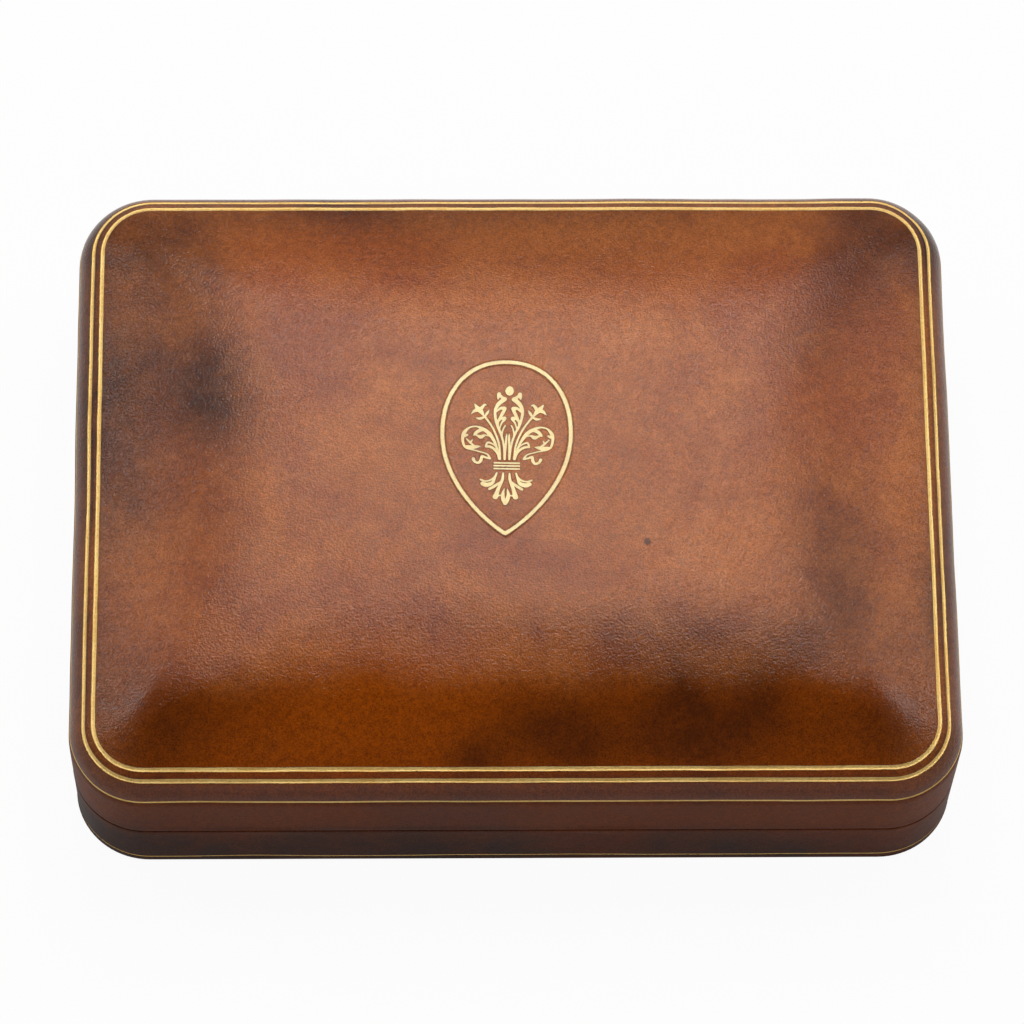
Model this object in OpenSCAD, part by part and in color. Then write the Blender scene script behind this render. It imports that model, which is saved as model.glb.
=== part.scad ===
// Hinged leather box with a crowned, gold-tooled lid.
// Two mitred wooden frames, a floor panel and a rounded top board carry the leather.
// The lid is padded under its cover, both halves are lined, and two brass stop hinges
// with loose-fitting pins join the halves at the back.
// X runs to the right, Y to the back and Z up, from the middle of the underside.
// Radii called "..._r" on the frames are measured from the axes of the four corners.

/* [Case] */
// Width over the leather, left to right
case_w = 200; // [180:1:240]
// Depth over the leather, front to back, without the hinge barrels
case_d = 150; // [136:1:176]
// Radius of the leather at the four upright corners
corner_r = 17; // [16:0.5:22]
// Height of the parting line between base and lid
parting_z = 20; // [18:0.5:30]
// Gap between the two rims when the lid is shut
rim_gap = 0.3; // [0.2:0.05:0.6]

/* [Lid shape] */
// Height of the upright part of the lid's wall
lid_wall_h = 15.3; // [13:0.1:25]
// Radius of the lid's rounded top edge
edge_r = 9.5; // [9:0.5:11]
// Slope of the crown where it leaves the rounded edge, in degrees
crown_slope = 17; // [12:0.5:19]
// Distance from the wall at which the crown's slope starts to ease
ease_from = 12; // [10:1:20]
// Distance from the wall at which the crown is nearly level
ease_to = 52; // [40:1:60]
// Further gentle rise of the crown up to its middle
crown_rise = 2.2; // [1:0.1:3]

/* [Leather] */
// Thickness of the cover leather
leather_t = 1.2; // [0.8:0.1:1.6]
// Thickness of the pared leather that is turned in behind the lining
pared_t = 0.7; // [0.4:0.1:1]
// Height of the turned-in leather inside each rim
turn_in_h = 6; // [4:0.5:8]
// Width of the leather turned under the base
turn_under_w = 11; // [8:0.5:14]
// Radius of the base's lower edge
foot_edge_r = 1; // [0.5:0.1:1.1]
// Bevel of the leather at the parting line
rim_bevel = 0.4; // [0.2:0.1:0.7]
// Thickness of the sheet that covers the underside
underside_t = 0.8; // [0.5:0.1:1.5]
// Distance from the wall to the edge of the underside sheet
underside_inset = 2.5; // [2:0.5:5]
// Glue line between leather, wood and lining
glue_gap = 0.15; // [0.12:0.01:0.2]

/* [Wood] */
// Thickness of the frame rails
rail_t = 8; // [7.5:0.5:9]
// Width left outside the rebates that take the floor and the top board
rebate_wall = 4; // [3:0.5:5]
// Thickness of the floor panel
floor_t = 4; // [3:0.5:6]
// Depth of the top board's tongue below the lid's frame
tongue_h = 3; // [2:0.5:4]
// Running clearance of the panels and keys in their seats
seat_gap = 0.1; // [0.05:0.01:0.2]
// Thickness of the keys across the mitres
key_t = 1.5; // [1:0.1:2]
// Width of the keys across the mitres
key_w = 8; // [5:0.5:9]
// Distance that the keys keep from the rims and from the rebates
key_margin = 2; // [1:0.5:3]

/* [Lining] */
// Thickness of the suede-covered boards round the sides
lining_t = 1.5; // [1:0.1:2.5]
// How far the side lining stops short of the rim
lining_drop = 1.25; // [1:0.05:3]
// Thickness of the floor and ceiling pads at their edges
pad_t = 2.6; // [2:0.1:4]
// Extra height of the pads in the middle
pad_crown = 1.2; // [0.5:0.1:2]
// How far the suede draws in round the pads' upper edges
pad_draw = 1.2; // [0.8:0.1:2]

/* [Gold tooling] */
// Width of the two gold fillets on the top edge
fillet_w = 1.1; // [0.8:0.1:1.4]
// Distance from the wall to the middle of the outer fillet
fillet_outer = 3.5; // [3.2:0.1:3.7]
// Distance from the wall to the middle of the inner fillet
fillet_inner = 5.75; // [5.5:0.05:5.8]
// Width of the single gold lines on the sides
side_line_w = 0.5; // [0.3:0.1:0.7]
// Height of the lid's side line above the upright wall
lid_line_rise = 2.6; // [1.5:0.1:3]
// Height of the base's side line
base_line_z = 3.9; // [3:0.1:6]
// Depth of the tooled grooves
groove_depth = 0.25; // [0.15:0.01:0.3]
// Thickness of the gold leaf laid in the grooves
gold_t = 0.12; // [0.08:0.01:0.15]
// Distance of the emblem to the right of the lid's middle
emblem_x = -2; // [-6:0.1:6]
// Turn of the emblem, in degrees
emblem_turn = -1.3; // [-5:0.1:5]
// Half width of the drop-shaped frame round the emblem
drop_half_w = 15; // [14:0.1:18]
// Height of the drop-shaped frame
drop_h = 43.5; // [42:0.5:50]
// Distance of the drop's widest place behind the lily's band
drop_y = 8; // [6:0.1:10]
// Width of the drop-shaped frame's line
drop_line_w = 1; // [0.6:0.1:1.4]
// Height of the lily inside the drop
lily_h = 29.4; // [24:0.1:30]

/* [Hinges] */
// Distance from the middle of the box to each hinge
hinge_x = 52; // [35:1:54]
// Length of each hinge
hinge_l = 26; // [20:1:30]
// Thickness of the hinge leaves
leaf_t = 1.5; // [1.2:0.1:1.8]
// Width of wood left inside the leaves
leaf_land = 1.2; // [1:0.1:2]
// Radius of the knuckles
knuckle_r = 2.4; // [2.2:0.1:2.8]
// Number of knuckles, shared between the two leaves
knuckles = 5; // [3:2:7]
// Distance of the pin outside the back face
pin_out = 1; // [0.8:0.1:1.5]
// Radius of the hinge pin
pin_r = 1; // [0.8:0.1:1.2]
// Radial clearance of the pin in the knuckles
pin_play = 0.04; // [0.02:0.01:0.08]
// Angle at which the stop lugs meet
stop_angle = 95; // [90:1:110]
// Length of the stop lug at each end of a hinge
lug_l = 2.2; // [1.5:0.1:3]
// Gap between neighbouring knuckles
knuckle_gap = 0.12; // [0.06:0.02:0.2]
// Room left round a knuckle where it turns past wood, leather or the other leaf
sweep_gap = 0.15; // [0.1:0.05:0.25]
// Clearance of the leaves and screws in their seats
hinge_play = 0.05; // [0.03:0.01:0.1]
// Radius of the hinge screws
screw_r = 0.95; // [0.8:0.05:1.1]
// Radius of the countersunk screw heads
screw_head_r = 1.8; // [1.6:0.1:2]
// Length of the hinge screws
screw_l = 8; // [6:0.5:9]
// Distance of the screws from the ends of their leaf
screw_end = 4.4; // [4:0.1:5]
// Distance of the screws from the inner edge of their leaf
screw_edge = 3.3; // [2.4:0.1:3.6]
// Depth of a screw's head below the face of its leaf
head_sunk = 0.1; // [0.05:0.05:0.2]
// Width of the slot in a screw's head
slot_w = 0.5; // [0.4:0.1:0.7]
// Depth of the slot in a screw's head
slot_h = 0.4; // [0.3:0.1:0.6]

/* [Hidden] */

// Colours
leather_colour = [0.47, 0.23, 0.12];
gold_colour = [0.83, 0.66, 0.36];
wood_colour = [0.80, 0.66, 0.47];
suede_colour = [0.66, 0.49, 0.33];
brass_colour = [0.78, 0.61, 0.30];

// Corner axes and the radii of each layer about them
axis_x = case_w / 2 - corner_r;
axis_y = case_d / 2 - corner_r;
frame_out_r = corner_r - leather_t - glue_gap;
frame_in_r = frame_out_r - rail_t;
rebate_r = frame_out_r - rebate_wall;
turn_out_r = frame_in_r - glue_gap;
turn_in_r = turn_out_r - pared_t;
lining_out_r = turn_in_r - glue_gap;
lining_in_r = lining_out_r - lining_t;
pad_r = lining_in_r - glue_gap;

// Heights of each layer
base_rim_z = parting_z - rim_gap / 2;
lid_rim_z = parting_z + rim_gap / 2;
base_wood_z = underside_t + leather_t;
floor_top_z = base_wood_z + floor_t;
base_wood_top_z = base_rim_z - leather_t;
lid_wood_z = lid_rim_z + leather_t;
edge_z = parting_z + lid_wall_h;
ceiling_z = edge_z - tongue_h;
board_edge_r = edge_r - leather_t - glue_gap;
board_top_z = edge_z + board_edge_r;

// Facets of the lofted surfaces: round a corner, across the crown and between two tooled lines
corner_steps = 10;
crown_steps = 12;
edge_steps = 3;

// A hair's breadth between gold and leather, and a reach past whatever is being cut
hair = 0.01;
cutter = 20;

function ease(t) = t <= 0 ? 0 : t >= 1 ? 1 : t * t * (3 - 2 * t);
function ease_area(t) = t <= 0 ? 0 : t >= 1 ? t - 0.5 : pow(t, 3) - pow(t, 4) / 2;
function soft_max(a, b, soft) = (a + b + sqrt(pow(a - b, 2) + soft * soft)) / 2;

// The crown: its distance from the wall d runs from the rounded edge to the middle
edge_turn = 90 - crown_slope;
crown_d = edge_r * (1 - cos(edge_turn));
crown_z = edge_z + edge_r * sin(edge_turn);
middle_d = case_d / 2;
crown_end_d = middle_d - 4;
ease_run = ease_to - ease_from;
rise_slope = 2 * crown_rise / (middle_d - crown_d);
main_slope = tan(crown_slope) - rise_slope;

function middle_share(d) = (d - crown_d) / (middle_d - crown_d);
function crown_height(d) = crown_z
    + main_slope * (d - crown_d - ease_run * ease_area((d - ease_from) / ease_run))
    + crown_rise * (1 - pow(1 - middle_share(d), 2));
function crown_angle(d) = atan(main_slope * (1 - ease((d - ease_from) / ease_run))
    + rise_slope * (1 - middle_share(d)));

// The crown's level lines are rounded rectangles whose corners first shrink with
// the distance from the wall, as an offset does, and then open out to an oval.
open_run = 16;
open_rate = 0.8;
oval_soft = 6;
function opened_r(d) = corner_r - d + (1 + open_rate) * open_run * ease_area((d - crown_d) / open_run);
function crown_r(d) = d <= crown_d ? corner_r - d
    : middle_d - d - soft_max(middle_d - d - opened_r(d), 0, oval_soft * ease((d - crown_d) / open_run));

// A level line: distance from the wall d, corner radius r and height z
function level(d, r, z) = [
    for (q = [0:3]) for (k = [0:corner_steps])
        let (
            a = 90 * q + 90 * k / corner_steps,
            sx = q == 0 || q == 3 ? 1 : -1,
            sy = q < 2 ? 1 : -1
        )
        [sx * (case_w / 2 - d - r) + r * cos(a), sy * (case_d / 2 - d - r) + r * sin(a), z]
];

// Points [d, r, z] of the cross-section, on the wall, the rounded edge and the crown
function wall_point(d, z) = [d, corner_r - d, z];
function edge_point(turn, deep) =
    wall_point(edge_r - (edge_r - deep) * cos(turn), edge_z + (edge_r - deep) * sin(turn));
function crown_point(d, deep) =
    let (slope = crown_angle(d))
    [d + deep * sin(slope), crown_r(d) - deep * sin(slope), crown_height(d) - deep * cos(slope)];
function edge_run(from, to, deep, steps) =
    [for (k = [0:steps]) edge_point(from + (to - from) * k / steps, deep)];
function crown_run(from, to, deep, steps) =
    [for (k = [0:steps]) crown_point(from + (to - from) * k / steps, deep)];

module loft(section, closed = false) {
    rings = len(section);
    n = 4 * (corner_steps + 1);
    sides = [
        for (i = [0:rings - (closed ? 1 : 2)]) for (j = [0:n - 1])
            let (
                i2 = (i + 1) % rings,
                j2 = (j + 1) % n,
                a = i * n + j,
                b = i * n + j2,
                c = i2 * n + j2,
                d = i2 * n + j
            )
            each [[a, b, c], [a, c, d]]
    ];
    caps = closed ? [] : [
        [for (j = [n - 1:-1:0]) j],
        [for (j = [0:n - 1]) (rings - 1) * n + j]
    ];
    polyhedron(
        points = [for (p = section) each level(p[0], p[1], p[2])],
        faces = concat(sides, caps),
        convexity = 6
    );
}

// Sweeps a 2D profile (distance from the corner axis, height) round the case
module round_corner(from, angle) {
    rotate([0, 0, from]) rotate_extrude(angle = angle, $fn = 96) children();
}

module along_side(length) {
    translate([0, length / 2, 0]) rotate([90, 0, 0]) linear_extrude(height = length) children();
}

module round_case() {
    for (q = [0:3]) {
        sx = q == 0 || q == 3 ? 1 : -1;
        sy = q < 2 ? 1 : -1;
        odd = q % 2 == 1;
        translate([sx * axis_x, sy * axis_y, 0]) round_corner(90 * q, 90) children();
        rotate([0, 0, 90 * q])
            translate([odd ? axis_y : axis_x, 0, 0])
                along_side(2 * (odd ? axis_x : axis_y)) children();
    }
}

// A plate with the case's outline at radius r about the corner axes
module case_plate(r, z, t) {
    translate([0, 0, z]) linear_extrude(height = t) {
        square([2 * axis_x, 2 * (axis_y + r)], center = true);
        square([2 * (axis_x + r), 2 * axis_y], center = true);
        for (sx = [-1, 1]) for (sy = [-1, 1])
            translate([sx * axis_x, sy * axis_y]) circle(r = r, $fn = 96);
    }
}

module box_section(r0, r1, z0, z1) {
    translate([r0, z0]) square([r1 - r0, z1 - z0]);
}

// A frame from the rim to its far end, with a rebate inside that starts at the seat
module frame_ring(rim_z, seat_z, far_z) {
    height = abs(far_z - rim_z);
    past_far = far_z + (far_z > rim_z ? 1 : -1);
    difference() {
        case_plate(frame_out_r, min(rim_z, far_z), height);
        case_plate(frame_in_r, min(rim_z, far_z) - 1, height + 2);
        case_plate(rebate_r, min(seat_z, past_far), abs(past_far - seat_z));
    }
}

// One rail of a frame, mitred through the corner axes.
// Side 0 is the right one, 1 the back, 2 the left and 3 the front.
module rail(side, rim_z, seat_z, far_z) {
    odd = side % 2 == 1;
    half = odd ? axis_x : axis_y;
    reach = odd ? axis_y : axis_x;
    color(wood_colour) difference() {
        intersection() {
            frame_ring(rim_z, seat_z, far_z);
            rotate([0, 0, 90 * side])
                translate([0, 0, min(rim_z, far_z) - 1])
                    linear_extrude(height = abs(far_z - rim_z) + 2)
                        polygon([
                            [reach, -half],
                            [reach + cutter, -half - cutter],
                            [reach + cutter, half + cutter],
                            [reach, half]
                        ]);
        }
        mitre_keys(rim_z, seat_z, seat_gap);
    }
}

// Keys across the four mitres, half way through the rails and clear of rim and seat;
// play widens them into their slots
module mitre_keys(rim_z, seat_z, play) {
    mid_r = (frame_in_r + frame_out_r) / 2;
    height = abs(seat_z - rim_z) - 2 * key_margin;
    for (q = [0:3]) {
        sx = q == 0 || q == 3 ? 1 : -1;
        sy = q < 2 ? 1 : -1;
        translate([sx * axis_x, sy * axis_y, (rim_z + seat_z) / 2]) rotate([0, 0, 45 + 90 * q])
            translate([mid_r, 0, 0])
                cube([key_t + 2 * play, key_w + 2 * play, height + 2 * play], center = true);
    }
}

module base_rail(side) {
    rail(side, base_wood_top_z, floor_top_z, base_wood_z);
}

module lid_rail(side) {
    rail(side, lid_wood_z, ceiling_z, edge_z);
}

module base_front_rail() {
    base_rail(3);
}

module base_back_rail() {
    difference() {
        base_rail(1);
        hinge_seats(-1);
    }
}

module base_left_rail() {
    base_rail(2);
}

module base_right_rail() {
    base_rail(0);
}

module base_mitre_keys() {
    color(wood_colour) mitre_keys(base_wood_top_z, floor_top_z, 0);
}

module base_floor_panel() {
    color(wood_colour) case_plate(rebate_r - seat_gap, base_wood_z, floor_t - seat_gap);
}

module base_leather() {
    color(leather_colour) difference() {
        round_case() difference() {
            union() {
                box_section(frame_out_r + glue_gap, corner_r, underside_t, base_rim_z);
                box_section(turn_in_r, corner_r, base_rim_z - leather_t, base_rim_z);
                box_section(turn_in_r, turn_out_r, base_rim_z - turn_in_h, base_rim_z);
                box_section(corner_r - turn_under_w, corner_r, underside_t, base_wood_z);
            }
            foot_edge();
            rim_edge();
            box_section(corner_r - groove_depth, corner_r + 1,
                base_line_z - side_line_w / 2, base_line_z + side_line_w / 2);
        }
        hinge_seats(-1);
    }
}

// Takes the arris off the base's lower edge
module foot_edge() {
    difference() {
        box_section(corner_r - foot_edge_r, corner_r + 1, 0, underside_t + foot_edge_r);
        translate([corner_r - foot_edge_r, underside_t + foot_edge_r]) circle(r = foot_edge_r, $fn = 48);
    }
}

// Bevels the leather where the lid meets the base
module rim_edge() {
    polygon([
        [corner_r - rim_bevel, base_rim_z],
        [corner_r, base_rim_z - rim_bevel],
        [corner_r + rim_bevel, base_rim_z]
    ]);
}

module base_gold_line() {
    gold_in_r = corner_r - groove_depth + hair;
    color(gold_colour) round_case()
        box_section(gold_in_r, gold_in_r + gold_t,
            base_line_z - side_line_w / 2 + hair, base_line_z + side_line_w / 2 - hair);
}

module base_underside_sheet() {
    color(suede_colour) case_plate(corner_r - underside_inset, 0, underside_t);
}

module base_side_lining() {
    color(suede_colour) round_case()
        box_section(lining_in_r, lining_out_r, floor_top_z, base_rim_z - lining_drop);
}

// A padded board with a crowned face and drawn-in sides; it faces up, or down when turned over
pad_edge_d = corner_r - pad_r;
pad_face_d = pad_edge_d + pad_draw;
pad_end_d = middle_d - 5;
pad_steps = 6;
function pad_face_point(s, z) =
    let (d = pad_face_d + (pad_end_d - pad_face_d) * s * s)
    [
        d,
        (pad_r - pad_draw) * (1 - s * s) + (middle_d - d) * s * s,
        z + pad_t + pad_crown * (1 - pow(1 - s, 2))
    ];
function pad_profile(z) = concat(
    [for (k = [pad_steps:-1:0]) pad_face_point(k / pad_steps, z)],
    [
        wall_point(pad_edge_d + 0.3 * pad_draw, z + pad_t - 0.25 * pad_draw),
        wall_point(pad_edge_d, z + pad_t - 0.8 * pad_draw),
        wall_point(pad_edge_d + 0.1 * pad_draw, z + 0.3 * pad_draw),
        wall_point(pad_edge_d + 0.3 * pad_draw, z)
    ]
);

module base_floor_pad() {
    color(suede_colour) loft(pad_profile(floor_top_z));
}

module lid_front_rail() {
    lid_rail(3);
}

module lid_back_rail() {
    difference() {
        lid_rail(1);
        hinge_seats(1);
    }
}

module lid_left_rail() {
    lid_rail(2);
}

module lid_right_rail() {
    lid_rail(0);
}

module lid_mitre_keys() {
    color(wood_colour) mitre_keys(lid_wood_z, ceiling_z, 0);
}

// The top board: rounded over all round, with a tongue that drops into the frame
module lid_top_board() {
    color(wood_colour) {
        case_plate(frame_out_r - board_edge_r, edge_z, board_edge_r);
        round_case() intersection() {
            box_section(frame_out_r - board_edge_r - 1, frame_out_r, edge_z, board_top_z);
            union() {
                translate([frame_out_r - board_edge_r, edge_z]) circle(r = board_edge_r, $fn = 96);
                box_section(frame_out_r - board_edge_r - 1, frame_out_r - board_edge_r, edge_z, board_top_z);
            }
        }
        case_plate(rebate_r - seat_gap, ceiling_z, edge_z - ceiling_z);
    }
}

// Wadding between the flat board and the crowned leather
wadding_edge_d = crown_d + 3;
module lid_wadding() {
    under = leather_t + glue_gap;
    section = concat(
        [for (p = crown_run(crown_end_d, wadding_edge_d, under, crown_steps)) p],
        [
            let (p = crown_point(wadding_edge_d, under)) [p[0], p[1], board_top_z + seat_gap]
        ]
    );
    color("ivory") loft(section);
}

// Angles of the tooled lines round the lid's rounded edge
function turn_at(d) = acos(1 - d / edge_r);
function half_turn(w) = w / 2 / edge_r * 180 / PI;
side_line_turn = asin(lid_line_rise / edge_r);

function grooved(from, middle, w) = concat(
    edge_run(from, middle - half_turn(w), 0, edge_steps),
    edge_run(middle - half_turn(w), middle + half_turn(w), groove_depth, 1)
);

function flipped(list) = [for (k = [len(list) - 1:-1:0]) list[k]];

// One piece of leather: the crown, the rounded edge with its tooled grooves, the wall,
// the rim and the pared turn-in, and back along the flesh side to the middle
lid_leather_section = concat(
    crown_run(crown_end_d, crown_d, 0, crown_steps),
    flipped(concat(
        grooved(0, side_line_turn, side_line_w),
        grooved(side_line_turn + half_turn(side_line_w), turn_at(fillet_outer), fillet_w),
        grooved(turn_at(fillet_outer) + half_turn(fillet_w), turn_at(fillet_inner), fillet_w),
        [edge_point(turn_at(fillet_inner) + half_turn(fillet_w), 0)]
    )),
    [
        wall_point(0, lid_rim_z + rim_bevel),
        wall_point(rim_bevel, lid_rim_z),
        wall_point(corner_r - turn_in_r, lid_rim_z),
        wall_point(corner_r - turn_in_r, lid_rim_z + turn_in_h),
        wall_point(corner_r - turn_out_r, lid_rim_z + turn_in_h),
        wall_point(corner_r - turn_out_r, lid_rim_z + leather_t),
        wall_point(leather_t, lid_rim_z + leather_t)
    ],
    edge_run(0, edge_turn, leather_t, 3 * edge_steps),
    flipped(crown_run(crown_end_d, crown_d + (crown_end_d - crown_d) / crown_steps, leather_t, crown_steps - 1))
);

module lid_leather() {
    color(leather_colour) difference() {
        loft(lid_leather_section);
        hinge_seats(1);
    }
}

// Gold leaf laid along the bottom of a tooled groove
module gold_fillet(middle, w) {
    reach = half_turn(w - 4 * hair);
    low = groove_depth - hair;
    color(gold_colour) loft(concat(
        edge_run(middle + reach, middle - reach, low - gold_t, 1),
        edge_run(middle - reach, middle + reach, low, 1)
    ), closed = true);
}

module lid_outer_fillet() {
    gold_fillet(turn_at(fillet_outer), fillet_w);
}

module lid_inner_fillet() {
    gold_fillet(turn_at(fillet_inner), fillet_w);
}

module lid_side_gold_line() {
    gold_fillet(side_line_turn, side_line_w);
}

// Signed distance of a point from the crown's level line at d, and the crown's height there
function outside(x, y, d) =
    let (
        r = crown_r(d),
        qx = abs(x) - (case_w / 2 - d - r),
        qy = abs(y) - (case_d / 2 - d - r)
    )
    norm([max(qx, 0), max(qy, 0)]) + min(max(qx, qy), 0) - r;
function level_at(x, y, low = crown_d, high = middle_d, turns = 14) =
    turns == 0 ? (low + high) / 2
    : let (mid = (low + high) / 2)
        outside(x, y, mid) > 0 ? level_at(x, y, low, mid, turns - 1) : level_at(x, y, mid, high, turns - 1);
function height_at(x, y) = crown_height(level_at(x, y));

// A place on the crown from the emblem's own places, raised by lift
function on_crown(p, lift) =
    let (
        x = emblem_x + p[0] * cos(emblem_turn) - p[1] * sin(emblem_turn),
        y = p[0] * sin(emblem_turn) + p[1] * cos(emblem_turn)
    )
    [x, y, height_at(x, y) + lift];
leaf_lift = 3 * hair;

// Outline of the drop: a full arch above, a pointed leaf below
drop_steps = 16;
drop_top_share = 0.423;
drop_arch = 0.92;
drop_leaf = 0.9;
drop_tip_rate = 1.25;
function drop_point(k, grow) =
    let (
        above = k <= drop_steps,
        t = above ? k / drop_steps : (k - drop_steps) / drop_steps,
        half = drop_half_w + grow
    )
    above
        ? [half * pow(sin(90 * t), drop_arch),
            drop_y + (drop_h * drop_top_share + grow) * pow(cos(90 * t), drop_arch)]
        : [half * pow(1 - t * t, drop_leaf),
            drop_y - (drop_h * (1 - drop_top_share) + drop_tip_rate * grow) * t];
function drop_outline(grow) = concat(
    [for (k = [0:2 * drop_steps]) drop_point(k, grow)],
    [for (k = [2 * drop_steps - 1:-1:1]) let (p = drop_point(k, grow)) [-p[0], p[1]]]
);

// Gold leaf lying on the crown between the drop's outer and inner outlines
module lid_drop_frame() {
    outer = drop_outline(0);
    inner = drop_outline(-drop_line_w);
    n = len(outer);
    points = concat(
        [for (p = outer) on_crown(p, leaf_lift + gold_t)],
        [for (p = inner) on_crown(p, leaf_lift + gold_t)],
        [for (p = inner) on_crown(p, leaf_lift)],
        [for (p = outer) on_crown(p, leaf_lift)]
    );
    faces = [
        for (i = [0:3]) for (j = [0:n - 1])
            let (
                i2 = (i + 1) % 4,
                j2 = (j + 1) % n,
                a = i * n + j,
                b = i * n + j2,
                c = i2 * n + j2,
                d = i2 * n + j
            )
            each [[a, b, c], [a, c, d]]
    ];
    color(gold_colour) polyhedron(points = points, faces = faces, convexity = 4);
}

// Strokes of the lily's right half, drawn at a lily height of 29.4 from the middle of its band.
// Each has the points of a run of curves, then its width at every curve's ends and middle.
lily_drawn_h = 29.4;
lily_strokes = [
    // Middle leaf: spike, rib with its crest, knob and three lobes
    [[[0.20, 1.6], [0.20, 4.0], [0.25, 6.5], [0.30, 8.7]], [0.25, 0.38, 0.15]],
    [[[0.62, 1.6], [0.75, 7.0], [2.3, 9.0], [3.3, 13.1], [3.6, 14.8], [2.6, 15.9], [1.3, 16.8]],
     [0.35, 0.55, 0.80, 1.00, 1.10]],
    [[[2.20, 17.0], [2.35, 17.3], [2.50, 17.5], [2.80, 17.9]], [0.50, 1.10, 0.80]],
    [[[2.30, 11.6], [2.25, 12.6], [1.95, 13.6], [1.15, 14.6]], [0.30, 1.35, 0.95]],
    [[[1.80, 9.7], [1.65, 10.6], [1.45, 11.5], [0.85, 12.3]], [0.30, 1.10, 0.80]],
    [[[1.10, 8.4], [1.10, 9.0], [1.00, 9.5], [0.65, 10.1]], [0.25, 0.75, 0.55]],
    // Side flower: stem, two sepals and three petals
    [[[1.45, 1.6], [1.50, 6.6], [3.00, 9.3], [5.00, 12.0]], [0.32, 0.50, 0.55]],
    [[[5.10, 12.35], [4.85, 12.8], [4.85, 13.4], [4.55, 13.9]], [0.40, 0.80, 0.45]],
    [[[5.50, 11.85], [6.20, 11.4], [6.90, 11.3], [7.50, 11.6]], [0.35, 0.70, 0.40]],
    [[[5.75, 12.75], [6.10, 13.4], [6.00, 14.4], [5.25, 15.0]], [0.40, 1.00, 0.60]],
    [[[6.35, 12.75], [7.00, 13.4], [7.50, 14.0], [8.00, 15.2]], [0.40, 1.60, 0.50]],
    [[[6.55, 12.15], [7.20, 12.2], [7.90, 12.7], [8.70, 12.55]], [0.35, 1.00, 0.40]],
    // Side petal: its scroll and the leaves inside it
    [[[1.90, 1.6], [2.15, 6.6], [4.6, 9.6], [7.65, 9.4], [9.6, 9.2], [10.7, 7.6], [10.2, 5.8],
      [9.6, 4.3], [8.3, 3.9], [6.5, 3.53], [5.4, 3.35], [4.2, 3.4], [3.75, 2.05]],
     [0.32, 0.60, 0.80, 0.80, 0.85, 0.95, 0.40, 0.45, 0.60]],
    [[[4.10, 6.85], [5.20, 7.15], [6.80, 6.4], [7.85, 7.65]], [0.30, 1.40, 0.50]],
    [[[3.05, 5.15], [3.60, 5.9], [4.40, 6.1], [4.85, 5.5]], [0.30, 0.55, 0.45]],
    [[[2.75, 4.0], [3.20, 4.5], [4.10, 4.8], [5.00, 4.65]], [0.30, 0.70, 0.50]],
    [[[8.70, 5.35], [8.20, 5.0], [7.40, 4.85], [6.30, 5.15]], [0.30, 1.00, 0.50]],
    [[[9.35, 6.65], [8.90, 6.6], [8.50, 6.5], [8.10, 6.2]], [0.30, 0.60, 0.45]],
    // Curled end of the side petal
    [[[3.95, 1.7], [4.9, 2.3], [5.8, 2.1], [6.1, 0.85], [6.35, -0.1], [7.6, 0.0], [7.75, 1.35]],
     [0.32, 0.60, 0.72, 0.90, 0.60]],
    // Below the band: five petals
    [[[0.75, -1.7], [0.75, -4.0], [0.72, -6.0], [0.72, -9.1]], [0.45, 0.85, 1.25]],
    [[[1.40, -4.3], [1.70, -5.5], [2.15, -6.6], [2.40, -8.0]], [0.30, 0.80, 1.25]],
    [[[1.50, -1.7], [1.65, -3.5], [2.60, -4.8], [3.60, -5.9]], [0.35, 0.75, 1.00]],
    [[[2.35, -1.6], [2.60, -3.0], [3.60, -3.8], [5.70, -3.4]], [0.35, 0.55, 0.50]],
    [[[2.80, -3.7], [3.40, -4.4], [4.20, -4.85], [5.70, -4.6]], [0.30, 0.70, 1.10]]
];
// Strokes on the lily's axis: three bars of the band, and the bud at the top
lily_axis_strokes = [
    [[[-2.95, 0.74], [-1.0, 0.74], [1.0, 0.74], [2.95, 0.74]], [0.44, 0.44, 0.44]],
    [[[-2.95, 0.0], [-1.0, 0.0], [1.0, 0.0], [2.95, 0.0]], [0.44, 0.44, 0.44]],
    [[[-2.95, -0.74], [-1.0, -0.74], [1.0, -0.74], [2.95, -0.74]], [0.44, 0.44, 0.44]],
    [[[0.15, 17.7], [0.15, 18.4], [0.15, 19.2], [0.15, 19.9]], [0.10, 3.40, 0.10]]
];
stroke_steps = 6;
stroke_end = 0.45;
function curve_point(p, k, t) =
    let (u = 1 - t)
    u * u * u * p[3 * k] + 3 * u * u * t * p[3 * k + 1]
        + 3 * u * t * t * p[3 * k + 2] + t * t * t * p[3 * k + 3];
function curve_way(p, k, t) =
    let (u = 1 - t)
    u * u * (p[3 * k + 1] - p[3 * k]) + 2 * u * t * (p[3 * k + 2] - p[3 * k + 1])
        + t * t * (p[3 * k + 3] - p[3 * k + 2]);
function curve_width(w, k, t) =
    let (u = 1 - t)
    u * u * w[2 * k] + 2 * u * t * w[2 * k + 1] + t * t * w[2 * k + 2];

// Left and right points of a stroke's outline, from its start to its end
function stroke_sides(points, widths) =
    let (runs = (len(points) - 1) / 3)
    [
        for (k = [0:runs - 1]) for (i = [k == 0 ? 0 : 1:stroke_steps])
            let (
                t = i / stroke_steps,
                way = curve_way(points, k, t),
                side = [way[1], -way[0]] / norm(way),
                at_end = (k == 0 && i == 0) || (k == runs - 1 && i == stroke_steps),
                half = curve_width(widths, k, t) / 2 * (at_end ? stroke_end : 1),
                middle = curve_point(points, k, t)
            )
            [middle - side * half, middle + side * half]
    ];

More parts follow.
